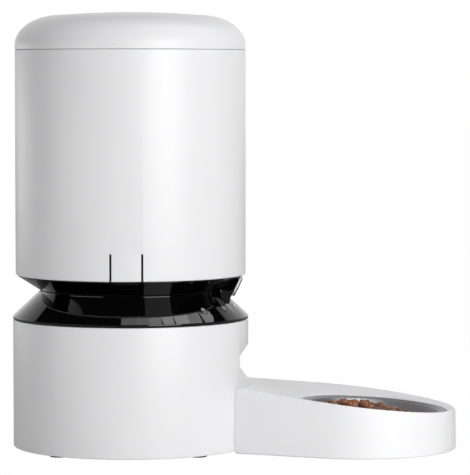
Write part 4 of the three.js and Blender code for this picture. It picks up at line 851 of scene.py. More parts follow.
# Screws: zinc-plated pan-head screws with a cross recess, heads down in the base plate and the gearbox.
# Every one is the same 2.8 mm screw, so one shape is set at each place.
screw_radius = 0.0014
screw_length = 0.009
recess_depth = 0.001
recess_halves = (0.0017, 0.00035)
zinc = moulded("zinc_plate", (0.6, 0.6, 0.58), 0.3, 0.0003, 0.000004, sheen=0.2, metallic=1.0)
screw = lathed("screw", [
    (0, 0, 0), (screw_head_radius, 0, 0.0007), (screw_head_radius, screw_head_height, 0.0002),
    (screw_radius, screw_head_height, 0), (screw_radius, screw_length, 0.0006), (0, screw_length, 0),
], origin, 32)
carved(screw, *[
    slab("recess_arm", about(a), about(b), (-overrun, recess_depth), 0.0001)
    for a, b in (recess_halves, recess_halves[::-1])
])
base_screws = grown("base_screws_visual", corners_tree, {
    "Piece": screw, "Spacing X": 2 * post_place, "Spacing Y": 2 * post_place,
    "Centre": (axis_x, 0, plate_low.z), "Material": zinc,
})
dress(base_screws, zinc, "steel", "base", "base_screw_1", "base_screw_2", "base_screw_3", "base_screw_4")
for name in ("battery_cover_screw", "gearbox_screw_right", "gearbox_screw_left"):
    low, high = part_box(name)
    single = grown(name + "_visual", corners_tree, {
        "Piece": screw, "Spacing X": 0.0, "Spacing Y": 0.0,
        "Centre": ((low.x + high.x) / 2, (low.y + high.y) / 2, low.z), "Material": zinc,
    })
    dress(single, zinc, "steel", "base", name)
bpy.data.objects.remove(screw)

# Feet: four soft grey rubber discs, pressed with a hollow in the middle, which keep the feeder from sliding.
# They are glued into the base plate near its rim.
foot_low, foot_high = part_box("foot_1")
foot_radius = (foot_high.x - foot_low.x) / 2
foot_x = (foot_low.x + foot_high.x) / 2 - axis_x
foot_y = (foot_low.y + foot_high.y) / 2
foot_hollow = 0.0005
hollow_radius, hollow_edge = 0.55 * foot_radius, 0.62 * foot_radius
foot_rubber = moulded("grey_rubber", (0.05, 0.05, 0.053), 0.75, 0.0004, 0.00006, mottle=0.15)
foot = lathed("foot", [
    (0, foot_hollow, 0), (hollow_radius, foot_hollow, 0.0004), (hollow_edge, 0, 0.0004),
    (foot_radius, 0, 0.0007), (foot_radius, foot_high.z, 0.0002), (0, foot_high.z, 0),
], origin, 48)
feet = grown("feet_visual", corners_tree, {
    "Piece": foot, "Spacing X": 2 * foot_x, "Spacing Y": 2 * foot_y, "Centre": (axis_x, 0, 0),
    "Material": foot_rubber,
})
bpy.data.objects.remove(foot)
dress(feet, foot_rubber, "rubber", "base", "foot_1", "foot_2", "foot_3", "foot_4")

# Power inlet: a drawn steel socket round a black plastic tongue, as small charging plugs need it.
# It is soldered to a small board, and its mouth stands in the slot at the back of the base shell.
socket_half_width, socket_half_height = 0.0045, 0.0017
socket_wall = 0.0004
socket_mouth = -base_radius + shell_wall / 2
socket_back = socket_mouth + 0.008
socket_round = 0.0014
tongue_half_width, tongue_half_height = 0.0022, 0.00035
tongue_recess = 0.0012
board_half_width = 0.011
board_below, board_above = 0.00135, 0.00025
inlet_shell = slab("power_inlet_visual", about(socket_half_width), about(socket_half_height, inlet_height),
                   (socket_mouth, socket_back), socket_round, facing_front)
inlet_room = slab("inlet_room", about(socket_half_width - socket_wall),
                  about(socket_half_height - socket_wall, inlet_height),
                  (socket_mouth - overrun, socket_back - socket_wall), socket_round - socket_wall, facing_front)
carved(inlet_shell, inlet_room)
dress(inlet_shell, plain_steel, "steel", "base", "power_inlet")
inlet_tongue = slab("power_inlet_tongue", about(tongue_half_width), about(tongue_half_height, inlet_height),
                    (socket_mouth + tongue_recess, socket_back - socket_wall), 0.0002, facing_front)
dress(inlet_tongue, black_abs, "black_plastic", "base")
socket_bottom = inlet_height - socket_half_height
inlet_board = block("power_inlet_board",
                    (axis_x - base_radius + 1.5 * shell_wall, -board_half_width, socket_bottom - board_below),
                    (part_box("power_inlet")[1].x, board_half_width, socket_bottom + board_above))
dress(inlet_board, board_green, "circuit_board", "base")

# Camera housing: a gloss black box that bridges the waist at the front, clipped into the control ring.
# Its front leans out and carries a pale bezel, a smoked panel that infrared light passes, and the lens.
housing_wall = 0.0022
housing_corner = 0.0014
barrel_radius = 0.0054
lens_radius = 0.004
lens_rim = 0.0006
lamp_radius = 0.0015
lamp_across, lamp_up = 0.013, 0.0025
lamp_places = [(side * lamp_across, up * lamp_up) for side in (1, -1) for up in (1, -1)]
pill_half_length, pill_half_height = 0.023, 0.008
bezel_front = 0.0014
barrel_back = -0.0032
mouth_radius, iris_outer, iris_inner, bore_radius = 0.0034, 0.0028, 0.0019, 0.0013
iris_front, bore_back = 0.0006, -0.0004
panel_back, panel_front = 0.0017, 0.0025
camera_facing = (
    Matrix.Translation((axis_x + camera_centre.x, 0, camera_centre.z))
    @ Matrix.Rotation(camera_tilt, 4, "Y")
    @ turned_to_front
)


def bored(radius, low, high, y=0.0, z=0.0):
    """A round cutter in the camera's own frame, whose z axis looks out of the lens."""
    return drum("bore", radius, low, high, camera_facing @ Matrix.Translation((y, z, 0)))


def pill(name, low, high):
    """An oblong with round ends, lying on the front of the housing."""
    return slab(name, about(pill_half_length), about(pill_half_height), (low, high), pill_half_height,
                camera_facing, 24)


housing = along_y("camera_housing_visual", housing_outline(0, housing_corner), housing_half_width)
room = housing_outline(-housing_wall)
room[2:] = [(housing_back - overrun, z, 0) for _, z, _ in room[2:]]
carved(
    housing,
    along_y("housing_room", room, housing_half_width - housing_wall),
    bored(barrel_radius + play, -2 * housing_wall, overrun),
    *[bored(lamp_radius + play, -2 * housing_wall, overrun, y, z) for y, z in lamp_places],
)
eased(housing, 0.0006, 3)
dress(housing, piano_black, "black_gloss", "base", "camera_housing")

pale_trim = moulded("pale_grey_trim", (0.82, 0.82, 0.82), 0.3, 0.0004, 0.000006, mottle=0.005)
bezel = pill("camera_bezel_visual", play / 3, panel_back - play / 6)
carved(bezel, bored(barrel_radius + play, -overrun, overrun),
       *[bored(lamp_radius + play, -overrun, overrun, y, z) for y, z in lamp_places])
dress(bezel, pale_trim, "grey_trim", "base", "camera_bezel", edge=0.0002)

smoked_panel = moulded("smoked_panel", (0.006, 0.005, 0.007), 0.05, 0.0008, 0, mottle=0.0)
panel = pill("camera_panel_visual", panel_back, panel_front)
carved(panel, bored(lens_radius + lens_rim, 0, overrun))
dress(panel, smoked_panel, "black_gloss", "base", "camera_panel", edge=0.0002)

barrel = lathed("camera_barrel_visual", [
    (0, barrel_back, 0), (barrel_radius, barrel_back, 0.0002), (barrel_radius, bezel_front, 0.0002),
    (mouth_radius, bezel_front, 0.0001), (iris_outer, iris_front, 0.0001), (iris_inner, iris_front, 0.0001),
    (bore_radius, bore_back, 0.0001), (0, bore_back, 0),
], camera_facing, 64, 3)
dress(barrel, black_abs, "black_plastic", "base", "camera_barrel")

lens_dome = 0.0005
lens_steps = 10
dome = [
    (lens_radius * math.cos(t), panel_front + lens_dome * math.sin(t))
    for t in [math.pi / 2 * k / lens_steps for k in range(lens_steps + 1)]
]
coated_glass = moulded("coated_lens_glass", (0.02, 0.016, 0.05), 0.03, 0.0008, 0, mottle=0.0)
coated_glass.node_tree.nodes["Principled BSDF"].inputs["Transmission Weight"].default_value = 0.5
lens = turned("camera_lens_visual", [(0, panel_back), (lens_radius, panel_back), *dome[:-1],
                                     (0, panel_front + lens_dome)], camera_facing, 64)
dress(lens, coated_glass, "lens_glass", "base", "camera_lens")

# Hopper skirt: the upper black cone of the waist, moulded in piano black with a sleeve that the shell slips over.
# It lets the latch toes through at both sides and leaves room for the camera housing at the front.
skirt_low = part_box("hopper_skirt")[0].z
skirt_rise = 0.0121
skirt_top = skirt_low + skirt_rise
hopper_low, hopper_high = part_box("hopper_shell")
hopper_radius = hopper_high.y
hopper_wall = 0.0026
inner_hopper = hopper_radius - hopper_wall
skirt_bottom_radius = waist_radius - play
skirt_top_radius = hopper_radius - 0.0008
skirt_flange_radius = 0.062
skirt_wall = 0.0022
sleeve_outer = inner_hopper - play
sleeve_inner = sleeve_outer - 0.002
sleeve_height = 0.0274
sleeve_top = skirt_top + sleeve_height
skirt_slope = skirt_rise / (skirt_top_radius - skirt_bottom_radius)
skirt_through = skirt_wall * math.hypot(1, skirt_slope)
skirt_front_half = 0.029


def skirt_cone(name):
    """The whole ring of the skirt, from which the latch toes are cut too."""
    flange_edge = skirt_bottom_radius + (skirt_wall - skirt_through) / skirt_slope
    inner = skirt_low + (sleeve_inner - skirt_bottom_radius) * skirt_slope + skirt_through
    return lathed(name, [
        (skirt_flange_radius, skirt_low, 0.0003),
        (skirt_bottom_radius, skirt_low, 0.0003),
        (skirt_bottom_radius, skirt_low + waist_lip / 2, 0),
        (skirt_top_radius, skirt_top, 0.0004),
        (sleeve_outer, skirt_top, 0),
        (sleeve_outer, sleeve_top, 0.0005),
        (sleeve_inner, sleeve_top, 0.0005),
        (sleeve_inner, inner, 0),
        (flange_edge, skirt_low + skirt_wall, 0),
        (skirt_flange_radius, skirt_low + skirt_wall, 0.0003),
    ])


def side_block(side, half_width, low, high):
    """A box that reaches from inside the waist past the hopper on one side."""
    near, far = sorted((side * waist_radius / 2, side * (hopper_radius + overrun)))
    return block("side_block", (axis_x - half_width, near, low), (axis_x + half_width, far, high))


tab_height = 0.0216
tab_top = hopper_low.z + tab_height
tab_half, tab_slot = 0.0115, 0.0017
toe_half = 0.01
toe_low = skirt_top - 0.0074
plate_half_width = 0.014
plate_wall = 0.002
plate_outer = inner_hopper - 0.0005
plate_inner = plate_outer - plate_wall
plate_top = tab_top - 0.0006
shoulder = skirt_top + plate_wall / 2
window_margin = 0.0012
window_half = plate_half_width + window_margin

skirt = skirt_cone("hopper_skirt_visual")
cuts = [block("front_room", (axis_x + housing_back - key_play, -skirt_front_half, skirt_low - overrun),
              (axis_x + hopper_radius + overrun, skirt_front_half, skirt_top))]
for side in (-1, 1):
    cuts.append(side_block(side, toe_half + play, toe_low - play, shoulder + overrun / 2))
    cuts.append(side_block(side, window_half, skirt_top, tab_top + window_margin))
carved(skirt, *cuts)
dress(skirt, piano_black, "black_gloss", "hopper", "hopper_skirt", edge=0.0002)

# Hopper shell: a plain satin white ABS tube, moulded in one with a rounded lower edge.
# A U-shaped cut on each side leaves room for the release tab, and the black sleeve shows through its slots.
hopper_wall_sizes = (inner_hopper, hopper_radius, hopper_low.z, hopper_high.z, (0.0004, 0.0014, 0.0004, 0.0003))
hopper_shell = tube("hopper_shell_visual", *hopper_wall_sizes, edge_steps=6)
carved(hopper_shell, *[
    side_block(side, tab_half + tab_slot, hopper_low.z - overrun, tab_top + play) for side in (-1, 1)
])
dress(hopper_shell, white_abs, "white_abs", "hopper", "hopper_shell", edge=0.0001)

# Release tabs: springy strips of the same white shell, each with a black latch arm clipped behind it.
# Pressed in, they free the skirt's toes from the waist so that the hopper lifts off.
for side, name in ((-1, "right"), (1, "left")):
    tab = tube(f"release_tab_{name}_visual", *hopper_wall_sizes, edge_steps=6)
    carved(tab, side_block(side, tab_half, hopper_low.z - overrun, tab_top + play), operation="INTERSECT")
    dress(tab, white_abs, "white_abs", f"release_{name}", f"release_tab_{name}", edge=0.0001)
    latch = tube(f"release_latch_{name}_visual", plate_inner, plate_outer, shoulder, plate_top,
                 (0.0002, 0.0002, 0.0005, 0.0005))
    carved(latch, side_block(side, plate_half_width, shoulder - overrun, tab_top), operation="INTERSECT")
    neck = tube("latch_neck", plate_inner, plate_outer, skirt_top - plate_wall, shoulder + plate_wall)
    carved(neck, side_block(side, toe_half, skirt_low, tab_top), operation="INTERSECT")
    toe = skirt_cone("latch_toe")
    carved(toe, side_block(side, toe_half, toe_low, skirt_top), operation="INTERSECT")
    carved(latch, neck, toe, operation="UNION")
    dress(latch, piano_black, "black_gloss", f"release_{name}", f"release_latch_{name}", edge=0.00015)

# Funnel and portion chamber: one pale moulding that leads the food down to the rotor.
# Below it lie the portion plate with its outlet, and the rubber rotor with six pockets.
funnel_low, funnel_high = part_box("hopper_funnel")
chamber_radius, chamber_outer, chamber_wall = 0.046, 0.048, 0.002
chamber_top = funnel_low.z + 0.0296
funnel_rim = funnel_high.y
funnel_inner = funnel_rim - 0.002
funnel_rim_low = funnel_high.z - 0.004
funnel_slope = (funnel_rim_low - chamber_top) / (funnel_rim - chamber_outer)
funnel_wall = 0.0022
funnel_through = funnel_wall * math.hypot(1, funnel_slope)
food_inner, food_outer = 0.02183, 0.044
funnel = lathed("hopper_funnel_visual", [
    (funnel_rim, funnel_rim_low, 0.0004),
    (funnel_rim, funnel_high.z, 0.0004),
    (funnel_inner, funnel_high.z, 0.0004),
    (funnel_inner, chamber_top + (funnel_inner - chamber_outer) * funnel_slope + funnel_through, 0.001),
    (chamber_radius, chamber_top - chamber_wall * funnel_slope + funnel_through, 0.002),
    (chamber_radius, funnel_low.z, 0.0003),
    (chamber_outer, funnel_low.z, 0.0004),
    (chamber_outer, chamber_top, 0.001),
])
dress(funnel, lining, "lining", "hopper", "hopper_funnel")

portion_low, portion_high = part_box("portion_plate")
portion_plate = drum("portion_plate_visual", chamber_outer, portion_low.z, portion_high.z,
                     steps=128, edges=(0.0004, 0.0004))
through_plate = (portion_low.z - overrun, portion_high.z + overrun)
carved(portion_plate, sector("food_hole", food_inner, food_outer, *through_plate),
       drum("plate_shaft_hole", shaft_hole_radius, *through_plate))
dress(portion_plate, lining, "lining", "hopper", "portion_plate", edge=0.0003)

soft_rubber = moulded("pale_food_rubber", (0.5, 0.51, 0.52), 0.6, 0.0005, 0.00003)
rotor_low, rotor_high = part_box("portion_rotor")
hub_radius = 0.012
paddle_count, first_paddle = 6, 30
paddle_top = rotor_high.z - 0.0017
paddle_reach = chamber_radius - 0.0015
paddle_half = 0.0012
socket_half_length, socket_half_across, socket_depth = 0.0038, 0.0016, 0.0088
rotor = drum("portion_rotor_visual", hub_radius, rotor_low.z, rotor_high.z, steps=96, edges=(0.0006, 0.0015))
paddles = [
    slab("paddle", (hub_radius / 2, paddle_reach), about(paddle_half), (rotor_low.z, paddle_top), 0.0008,
         feeder_axis @ Matrix.Rotation(math.radians(first_paddle + 360 / paddle_count * k), 4, "Z"))
    for k in range(paddle_count)
]
carved(rotor, *paddles, operation="UNION")
carved(rotor, block("drive_socket", (axis_x - socket_half_length, -socket_half_across, rotor_low.z - overrun),
                    (axis_x + socket_half_length, socket_half_across, rotor_low.z + socket_depth)))
dress(rotor, soft_rubber, "rubber", "rotor", "portion_rotor", edge=0.0003)

agitator_low, agitator_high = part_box("agitator")
agitator_radius = 0.004
bar_half_length, bar_half_width = 0.03, 0.0015
bar_low, bar_high = agitator_high.z - 0.006, agitator_high.z - 0.003
agitator = drum("agitator_visual", agitator_radius, agitator_low.z, agitator_high.z, edges=(0.0003, 0.0015))
bar = block("agitator_bar", (axis_x - bar_half_length, -bar_half_width, bar_low),
            (axis_x + bar_half_length, bar_half_width, bar_high))
carved(agitator, bar, operation="UNION")
dress(agitator, lining, "lining", "rotor", "agitator", edge=0.0004)

wiper_low, wiper_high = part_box("pocket_wiper")
wiper_near, wiper_half_angle = 0.014, 42
wiper_outline = (arc((0, 0), wiper_near, -wiper_half_angle, wiper_half_angle, 16)
                 + arc((0, 0), chamber_radius - play, wiper_half_angle, -wiper_half_angle, 32))
wiper = prism("pocket_wiper_visual", wiper_outline, wiper_low.z, wiper_high.z, feeder_axis)
dress(wiper, soft_rubber, "rubber", "hopper", "pocket_wiper", edge=0.0003)

# Lid: a satin white ABS dome with a short straight side, an elliptical shoulder and a shallow crown.
# Inside it a pale liner is snapped in, with a rubber lip seal and a ring for the desiccant.
lid_low, lid_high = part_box("lid_shell")
lid_side = 0.0037
shoulder_radius = 0.058
shoulder_rise = 0.024
lid_wall = 0.0024
lid_steps = 48


def lid_curve(inset):
    """Points from the lid's rim to its middle at a distance inside its skin."""
    side_top = lid_low.z + lid_side
    across = hopper_radius - shoulder_radius - inset
    rise = shoulder_rise - inset
    crown = lid_high.z - side_top - shoulder_rise
    turns = [math.pi / 2 * k / lid_steps for k in range(lid_steps + 1)]
    shares = [1 - k / lid_steps for k in range(1, lid_steps + 1)]
    shoulder_curve = [(shoulder_radius + across * math.cos(t), side_top + rise * math.sin(t)) for t in turns]
    return shoulder_curve + [(shoulder_radius * s, side_top + rise + crown * (1 - s ** 2)) for s in shares]


lid_rim = softened([
    (hopper_radius - lid_wall, lid_low.z, 0.0003), (hopper_radius, lid_low.z, 0.0005),
    (hopper_radius, lid_low.z + lid_side / 2, 0), (hopper_radius - lid_wall, lid_low.z + lid_side / 2, 0),
])[:-1]
lid_shell = turned("lid_shell_visual", lid_rim + lid_curve(0) + lid_curve(lid_wall)[::-1])
dress(lid_shell, white_abs, "white_abs", "lid", "lid_shell")

liner_low, liner_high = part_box("lid_liner")
liner_thickness = 0.0022
liner_floor = liner_high.z - liner_thickness
plug_outer = inner_hopper - 0.0027
plug_inner = plug_outer - 0.002
plug_low = liner_floor - 0.012
liner_edge = hopper_radius - lid_wall - play
pack_ring_outer, pack_ring_inner = 0.0295, 0.0275
pack_ring_low = liner_low.z
liner = lathed("lid_liner_visual", [
    (0, liner_high.z, 0),
    (liner_edge, liner_high.z, 0.0004),
    (liner_edge, liner_floor, 0.0004),
    (plug_outer, liner_floor, 0.0004),
    (plug_outer, plug_low, 0.0007),
    (plug_inner, plug_low, 0.0007),
    (plug_inner, liner_floor, 0.002),
    (pack_ring_outer, liner_floor, 0.001),
    (pack_ring_outer, pack_ring_low, 0.0005),
    (pack_ring_inner, pack_ring_low, 0.0005),
    (pack_ring_inner, liner_floor, 0.001),
    (0, liner_floor, 0),
])
dress(liner, lining, "lining", "lid", "lid_liner")

seal_low, seal_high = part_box("lid_seal")
seal_inner, seal_outer = plug_outer + play, seal_high.y
seal_body = seal_outer - 0.0008
seal = lathed("lid_seal_visual", [
    (seal_inner, seal_low.z, 0.0003), (seal_body, seal_low.z, 0.0003),
    (seal_outer, (seal_low.z + seal_high.z) / 2, 0.0006), (seal_body, seal_high.z, 0.0003),
    (seal_inner, seal_high.z, 0.0003),
])
dress(seal, soft_rubber, "rubber", "lid", "lid_seal")

# Desiccant: a round sachet of non-woven cloth, held up in the liner by a twist cover with a grip bar.
# The cover is moulded like the liner. Its short spigot turns inside the liner's ring.
pack_low, pack_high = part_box("desiccant_pack")
pack_radius = pack_high.y
pack_shoulder = pack_radius * 0.6
sachet_cloth = moulded("desiccant_cloth", (0.68, 0.68, 0.66), 0.9, 0.0009, 0.0001, mottle=0.05)
pack = lathed("desiccant_pack_visual", [
    (0, pack_low.z, 0), (pack_shoulder, pack_low.z, 0.004),
    (pack_radius, (pack_low.z + pack_high.z) / 2, 0.0012), (pack_shoulder, pack_high.z, 0.004), (0, pack_high.z, 0),
], steps=96)
dress(pack, sachet_cloth, "desiccant_cloth", "lid", "desiccant_pack", crease=60)

cover_box_low, cover_box_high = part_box("desiccant_cover")
twist_top = pack_ring_low - play
twist_low = twist_top - 0.0022
twist_radius = cover_box_high.y
twist_spigot_outer, twist_spigot_inner = 0.0272, 0.0252
grip_length, grip_half, grip_sink = 0.026, 0.0015, 0.001
twist_cover = lathed("desiccant_cover_visual", [
    (0, twist_low, 0), (twist_radius, twist_low, 0.0008), (twist_radius, twist_top, 0.0003),
    (twist_spigot_outer, twist_top, 0.0002), (twist_spigot_outer, cover_box_high.z, 0.0004),
    (twist_spigot_inner, cover_box_high.z, 0.0004), (twist_spigot_inner, twist_top, 0.0004),
    (0, twist_top, 0),
], steps=128)
grip = slab("twist_grip", about(grip_length), about(grip_half), (cover_box_low.z, twist_low + grip_sink),
            grip_half * 0.9, feeder_axis)
carved(twist_cover, grip, operation="UNION")
dress(twist_cover, lining, "lining", "desiccant_cover", "desiccant_cover", edge=0.0004)

# Bowl tray: one satin white ABS moulding, open below, that hooks into the base and slides forward off it.
# Its floor runs down as a ramp from the food outlet to a round seat, and its rim slopes to the front.
tray_centre = 0.184
tray_radius = 0.0787
tray_back_half = 0.044
tray_back_radius = base_radius + play
tray_back = math.sqrt(tray_back_radius ** 2 - tray_back_half ** 2)
tray_flare = (math.asin(tray_radius / math.hypot(tray_centre - tray_back, tray_back_half))
              - math.atan2(tray_back_half, tray_centre - tray_back))
tray_bottom = 0.0005
back_rim, front_rim = 0.0529, 0.032
tray_front = tray_centre + tray_radius
tray_draft = 0.0007
tray_edge = 0.0026
tray_wall = 0.0026
rim_width = 0.0016
tray_floor, tray_floor_thickness = 0.0042, 0.0022
bowl_centre = 0.1958
bowl_rim = 0.0346
bowl_tilt = math.radians(3.8)
bowl_radius = 0.0583
seat_radius, seat_depth = 0.06, 0.0019
well_radius_low, well_middle = 0.055, 0.04
back_steps, side_steps, front_steps = 48, 16, 112


def tray_outline(inset):
    """The tray's plan at a distance inside its rim, from the feeder's axis."""
    radius = tray_radius - inset
    touch = math.pi / 2 + tray_flare
    touch_point = Vector((tray_centre + radius * math.cos(touch), radius * math.sin(touch)))
    along = Vector((math.cos(tray_flare), math.sin(tray_flare)))
    back_radius = tray_back_radius + max(inset, 0)
    towards = touch_point.dot(along)
    run = towards - math.sqrt(towards ** 2 - touch_point.length_squared + back_radius ** 2)
    corner = touch_point - along * run
    corner_angle = math.atan2(corner.y, corner.x)
    outline = []
    for k in range(back_steps):
        angle = corner_angle * (1 - 2 * k / back_steps)
        outline.append((back_radius * math.cos(angle), back_radius * math.sin(angle)))
    side = [corner.lerp(touch_point, k / side_steps) for k in range(side_steps)]
    outline += [(spot.x, -spot.y) for spot in side]
    for k in range(front_steps + 1):
        angle = touch * (2 * k / front_steps - 1)
        outline.append((tray_centre + radius * math.cos(angle), radius * math.sin(angle)))
    return outline + [(spot.x, spot.y) for spot in side[:0:-1]]


bearings = [math.atan2(y, x - bowl_centre) for x, y in tray_outline(0)]


def rim_height(x):
    """The height of the tray's rim, which slopes down to the front."""
    return back_rim - (x - tray_back) * (back_rim - front_rim) / (tray_front - tray_back)


def plan_loop(inset, height):
    """A loop on the tray's plan, with its height given by x."""
    return [Vector((x, y, height(x))) for x, y in tray_outline(inset)]


def seat_loop(radius, depth):
    """A loop round the tilted seat, square to the bowl's own axis."""
    loop = []
    for angle in bearings:
        forward = radius * math.cos(angle)
        loop.append(Vector((
            bowl_centre + forward * math.cos(bowl_tilt) - depth * math.sin(bowl_tilt),
            radius * math.sin(angle),
            bowl_rim - forward * math.sin(bowl_tilt) - depth * math.cos(bowl_tilt),
        )))
    return loop


def well_loop(radius, height=None, depth=0.0):
    """An upright loop round the well, at a height or at a depth below the tilted rim plane."""
    loop = []
    for angle in bearings:
        x = bowl_centre + radius * math.cos(angle)
        plane = bowl_rim - radius * math.cos(angle) * math.tan(bowl_tilt) - depth / math.cos(bowl_tilt)
        loop.append(Vector((x, radius * math.sin(angle), plane if height is None else height)))
    return loop


def between(low, high):
    """Four loops on the way from one loop to another, with no edge to make soft."""
    return [([a.lerp(b, share) for a, b in zip(low, high)], 0) for share in (0.2, 0.4, 0.6, 0.8)]


def rounded(before, corner, after, reach, steps=5):
    """Loops that turn a corner loop into a soft edge reaching the given distance along both sides."""
    soft = [[] for _ in range(steps + 1)]
    for a, b, c in zip(before, corner, after):
        start = b + (a - b).normalized() * min(reach, (a - b).length / 2.1)
        end = b + (c - b).normalized() * min(reach, (c - b).length / 2.1)
        for k in range(steps + 1):
            t = k / steps
            soft[k].append(start * (1 - t) ** 2 + b * 2 * t * (1 - t) + end * t ** 2)
    return soft


def lofted(name, loops):
    """A closed skin through the loops, capped at both ends, set on the feeder's axis."""
    count = len(loops[0])
    corners = [feeder_axis @ point for loop in loops for point in loop]
    faces = [list(range(count)), list(range((len(loops) - 1) * count, len(loops) * count))]
    for ring in range(len(loops) - 1):
        faces += band(count, ring * count, (ring + 1) * count)
    return solid(name, corners, faces)


def softened_loops(course):
    """Loops through a course of (loop, edge reach), with each edge that has a reach made soft."""
    loops = []
    for i, (loop, reach) in enumerate(course):
        if reach > 0:
            loops += rounded(course[i - 1][0], loop, course[i + 1][0], reach)
        else:
            loops.append(loop)
    return loops


rim_inner = plan_loop(rim_width, rim_height)
seat_top = seat_loop(seat_radius, 0)
under_rim = plan_loop(tray_wall, lambda x: rim_height(x) - 1.25 * tray_wall)
under_seat = seat_loop(seat_radius + tray_wall, tray_wall)
rim_outer = plan_loop(0, rim_height)
tray = lofted("bowl_tray_visual", softened_loops([
    (well_loop(well_middle, tray_floor), 0),
    (well_loop(well_radius_low, tray_floor), 0.002),
    (well_loop(well_radius_low, depth=seat_depth), 0.0006),
    (seat_loop(seat_radius, seat_depth), 0.0005),
    (seat_top, 0.0008),
    *between(seat_top, rim_inner),
    (rim_inner, 0.0007),
    (rim_outer, 0.0007),
    *between(rim_outer, plan_loop(-tray_draft, lambda x: tray_bottom + tray_edge)),
    (plan_loop(-tray_draft, lambda x: tray_bottom), tray_edge),
    (plan_loop(tray_wall, lambda x: tray_bottom), 0.0003),
    (under_rim, 0.001),
    *between(under_rim, under_seat),
    (under_seat, 0.0005),
    (seat_loop(seat_radius + tray_wall, seat_depth + tray_wall), 0.0005),
    (well_loop(well_radius_low + tray_wall, depth=seat_depth + tray_wall), 0.0005),
    (well_loop(well_radius_low + tray_wall, tray_floor - tray_floor_thickness), 0.0015),
    (well_loop(well_middle, tray_floor - tray_floor_thickness), 0),
]))
tray_hook_near, tray_hook_far = 0.02, 0.028
tray_hook_low, tray_hook_high = 0.009, 0.017
tray_hook_grip = 0.004
hook_back = math.sqrt((base_radius - shell_wall) ** 2 - tray_hook_far ** 2) - tray_hook_grip
hook_front = math.sqrt((tray_back_radius + tray_wall) ** 2 - tray_hook_far ** 2)
hooks = [
    block("tray_hook", (axis_x + hook_back, low, tray_hook_low), (axis_x + hook_front, high, tray_hook_high))
    for low, high in ((-tray_hook_far, -tray_hook_near), (tray_hook_near, tray_hook_far))
]
carved(tray, *hooks, operation="UNION")
dress(tray, white_abs, "white_abs", "tray", "bowl_tray", crease=16)

foot_ring_low, foot_ring_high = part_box("tray_foot")
foot_ring_inner, foot_ring_outer = 0.042, 0.048
tray_foot = tube("tray_foot_visual", foot_ring_inner, foot_ring_outer, foot_ring_low.z, foot_ring_high.z,
                 (0.0005, 0.0005, 0.0002, 0.0002), Matrix.Translation((axis_x + bowl_centre, 0, 0)))
dress(tray_foot, foot_rubber, "rubber", "tray", "tray_foot")

# Bowl: deep-drawn stainless steel with a rolled rim, brushed in circles.
# It hangs by its rim in the tray's seat, tilted with it, and lifts out for washing.
bowl_depth = 0.027
bowl_wall = 0.001
bowl_throat = 0.0541
bowl_floor = 0.038
rim_drop = 0.0016
rim_bead = 0.0015
rim_dish = -0.0013
bowl_place = Matrix.Translation((axis_x + bowl_centre, 0, bowl_rim)) @ Matrix.Rotation(bowl_tilt, 4, "Y")
side_shares = [(0, 1), (0.4, 0.91), (0.71, 0.67), (1, 0.06)]


def curve_through(points, steps=8):
    """A smooth curve through the points."""
    path = [Vector(p) for p in points]
    path = [path[0] * 2 - path[1], *path, path[-1] * 2 - path[-2]]
    curve = []
    for a, b, c, d in zip(path, path[1:], path[2:], path[3:]):
        for k in range(steps):
            t = k / steps
            curve.append(b + (c - a) * t / 2 + (a * 2 - b * 5 + c * 4 - d) * t ** 2 / 2
                         + (b * 3 - a - c * 3 + d) * t ** 3 / 2)
    return [tuple(p) for p in curve + [path[-2]]]


def bowl_side(inset):
    """The bowl's side from its floor to its throat, at a distance inside its outer skin."""
    return curve_through([
        (bowl_floor + (bowl_throat - bowl_floor) * across - inset * across,
         inset * (1 - across) - bowl_depth * down)
        for across, down in side_shares
    ])


bowl_inside = bowl_side(bowl_wall)
bowl_profile = (
    [(0, -bowl_depth, 0), *[(r, z, 0) for r, z in bowl_side(0)]]
    + [(bowl_throat, -rim_drop, 0.0004), (bowl_radius, -rim_drop, 0.0007), (bowl_radius, 0, 0.0007),
       (bowl_radius - rim_bead, 0, 0.0005), (bowl_throat + bowl_wall / 2, rim_dish, 0.0015)]
    + [*[(r, z, 0) for r, z in bowl_inside[::-1]], (0, bowl_wall - bowl_depth, 0)]
)
brushed = moulded("brushed_steel", (0.55, 0.55, 0.565), 0.56, 0.0004, 0, mottle=0.02, sheen=0.1, metallic=1.0)
steel = brushed.node_tree
where = node(steel, "TexCoord").outputs["Object"]
from_centre = node(steel, "VectorMath", {0: where, 1: bowl_place.translation}, operation="SUBTRACT")
level = node(steel, "VectorMath", {0: from_centre.outputs[0], 1: (1, 1, 0)}, operation="MULTIPLY")
out = node(steel, "VectorMath", {0: level.outputs[0]}, operation="LENGTH")
rings = node(steel, "TexNoise", {"Scale": 3500, "Detail": 3, "W": out.outputs["Value"]}, noise_dimensions="1D")
ring_bump = node(steel, "Bump", {"Distance": 0.000015, "Strength": 0.4, "Height": rings.outputs["Fac"]})
link(steel, ring_bump.outputs["Normal"], steel.nodes["Principled BSDF"].inputs["Normal"])
bowl = lathed("feeding_bowl_visual", bowl_profile, bowl_place)
dress(bowl, brushed, "bowl_steel", "bowl", "feeding_bowl")

# Kibble: baked dry food in small uneven pillows, heaped where the outlet drops it, on the bowl's near side to
# the feeder. Each piece comes to rest on those under it, and three shapes are set at those places.
kibble_seed = 11
kibble_tries = 5200
kibble_spacing = 0.0071
kibble_half = 0.0046
kibble_spread = 0.0485
kibble_lift = 0.8
kibble_tip = 0.9
kibble_sizes = (0.86, 1.1)
kibble_unevenness = 0.05
kibble_flatness = 0.6
kibble_breadths = (0.82, 0.88, 0.94)
lobe_counts = (3, 4, 5)
lobe_swell = 0.1
kibble_kinds = len(lobe_counts)
heap_top, heap_edge = 0.0348, 0.0225
heap_reach = 0.056
heap_place = Vector((-0.012, 0.0))
random.seed(kibble_seed)


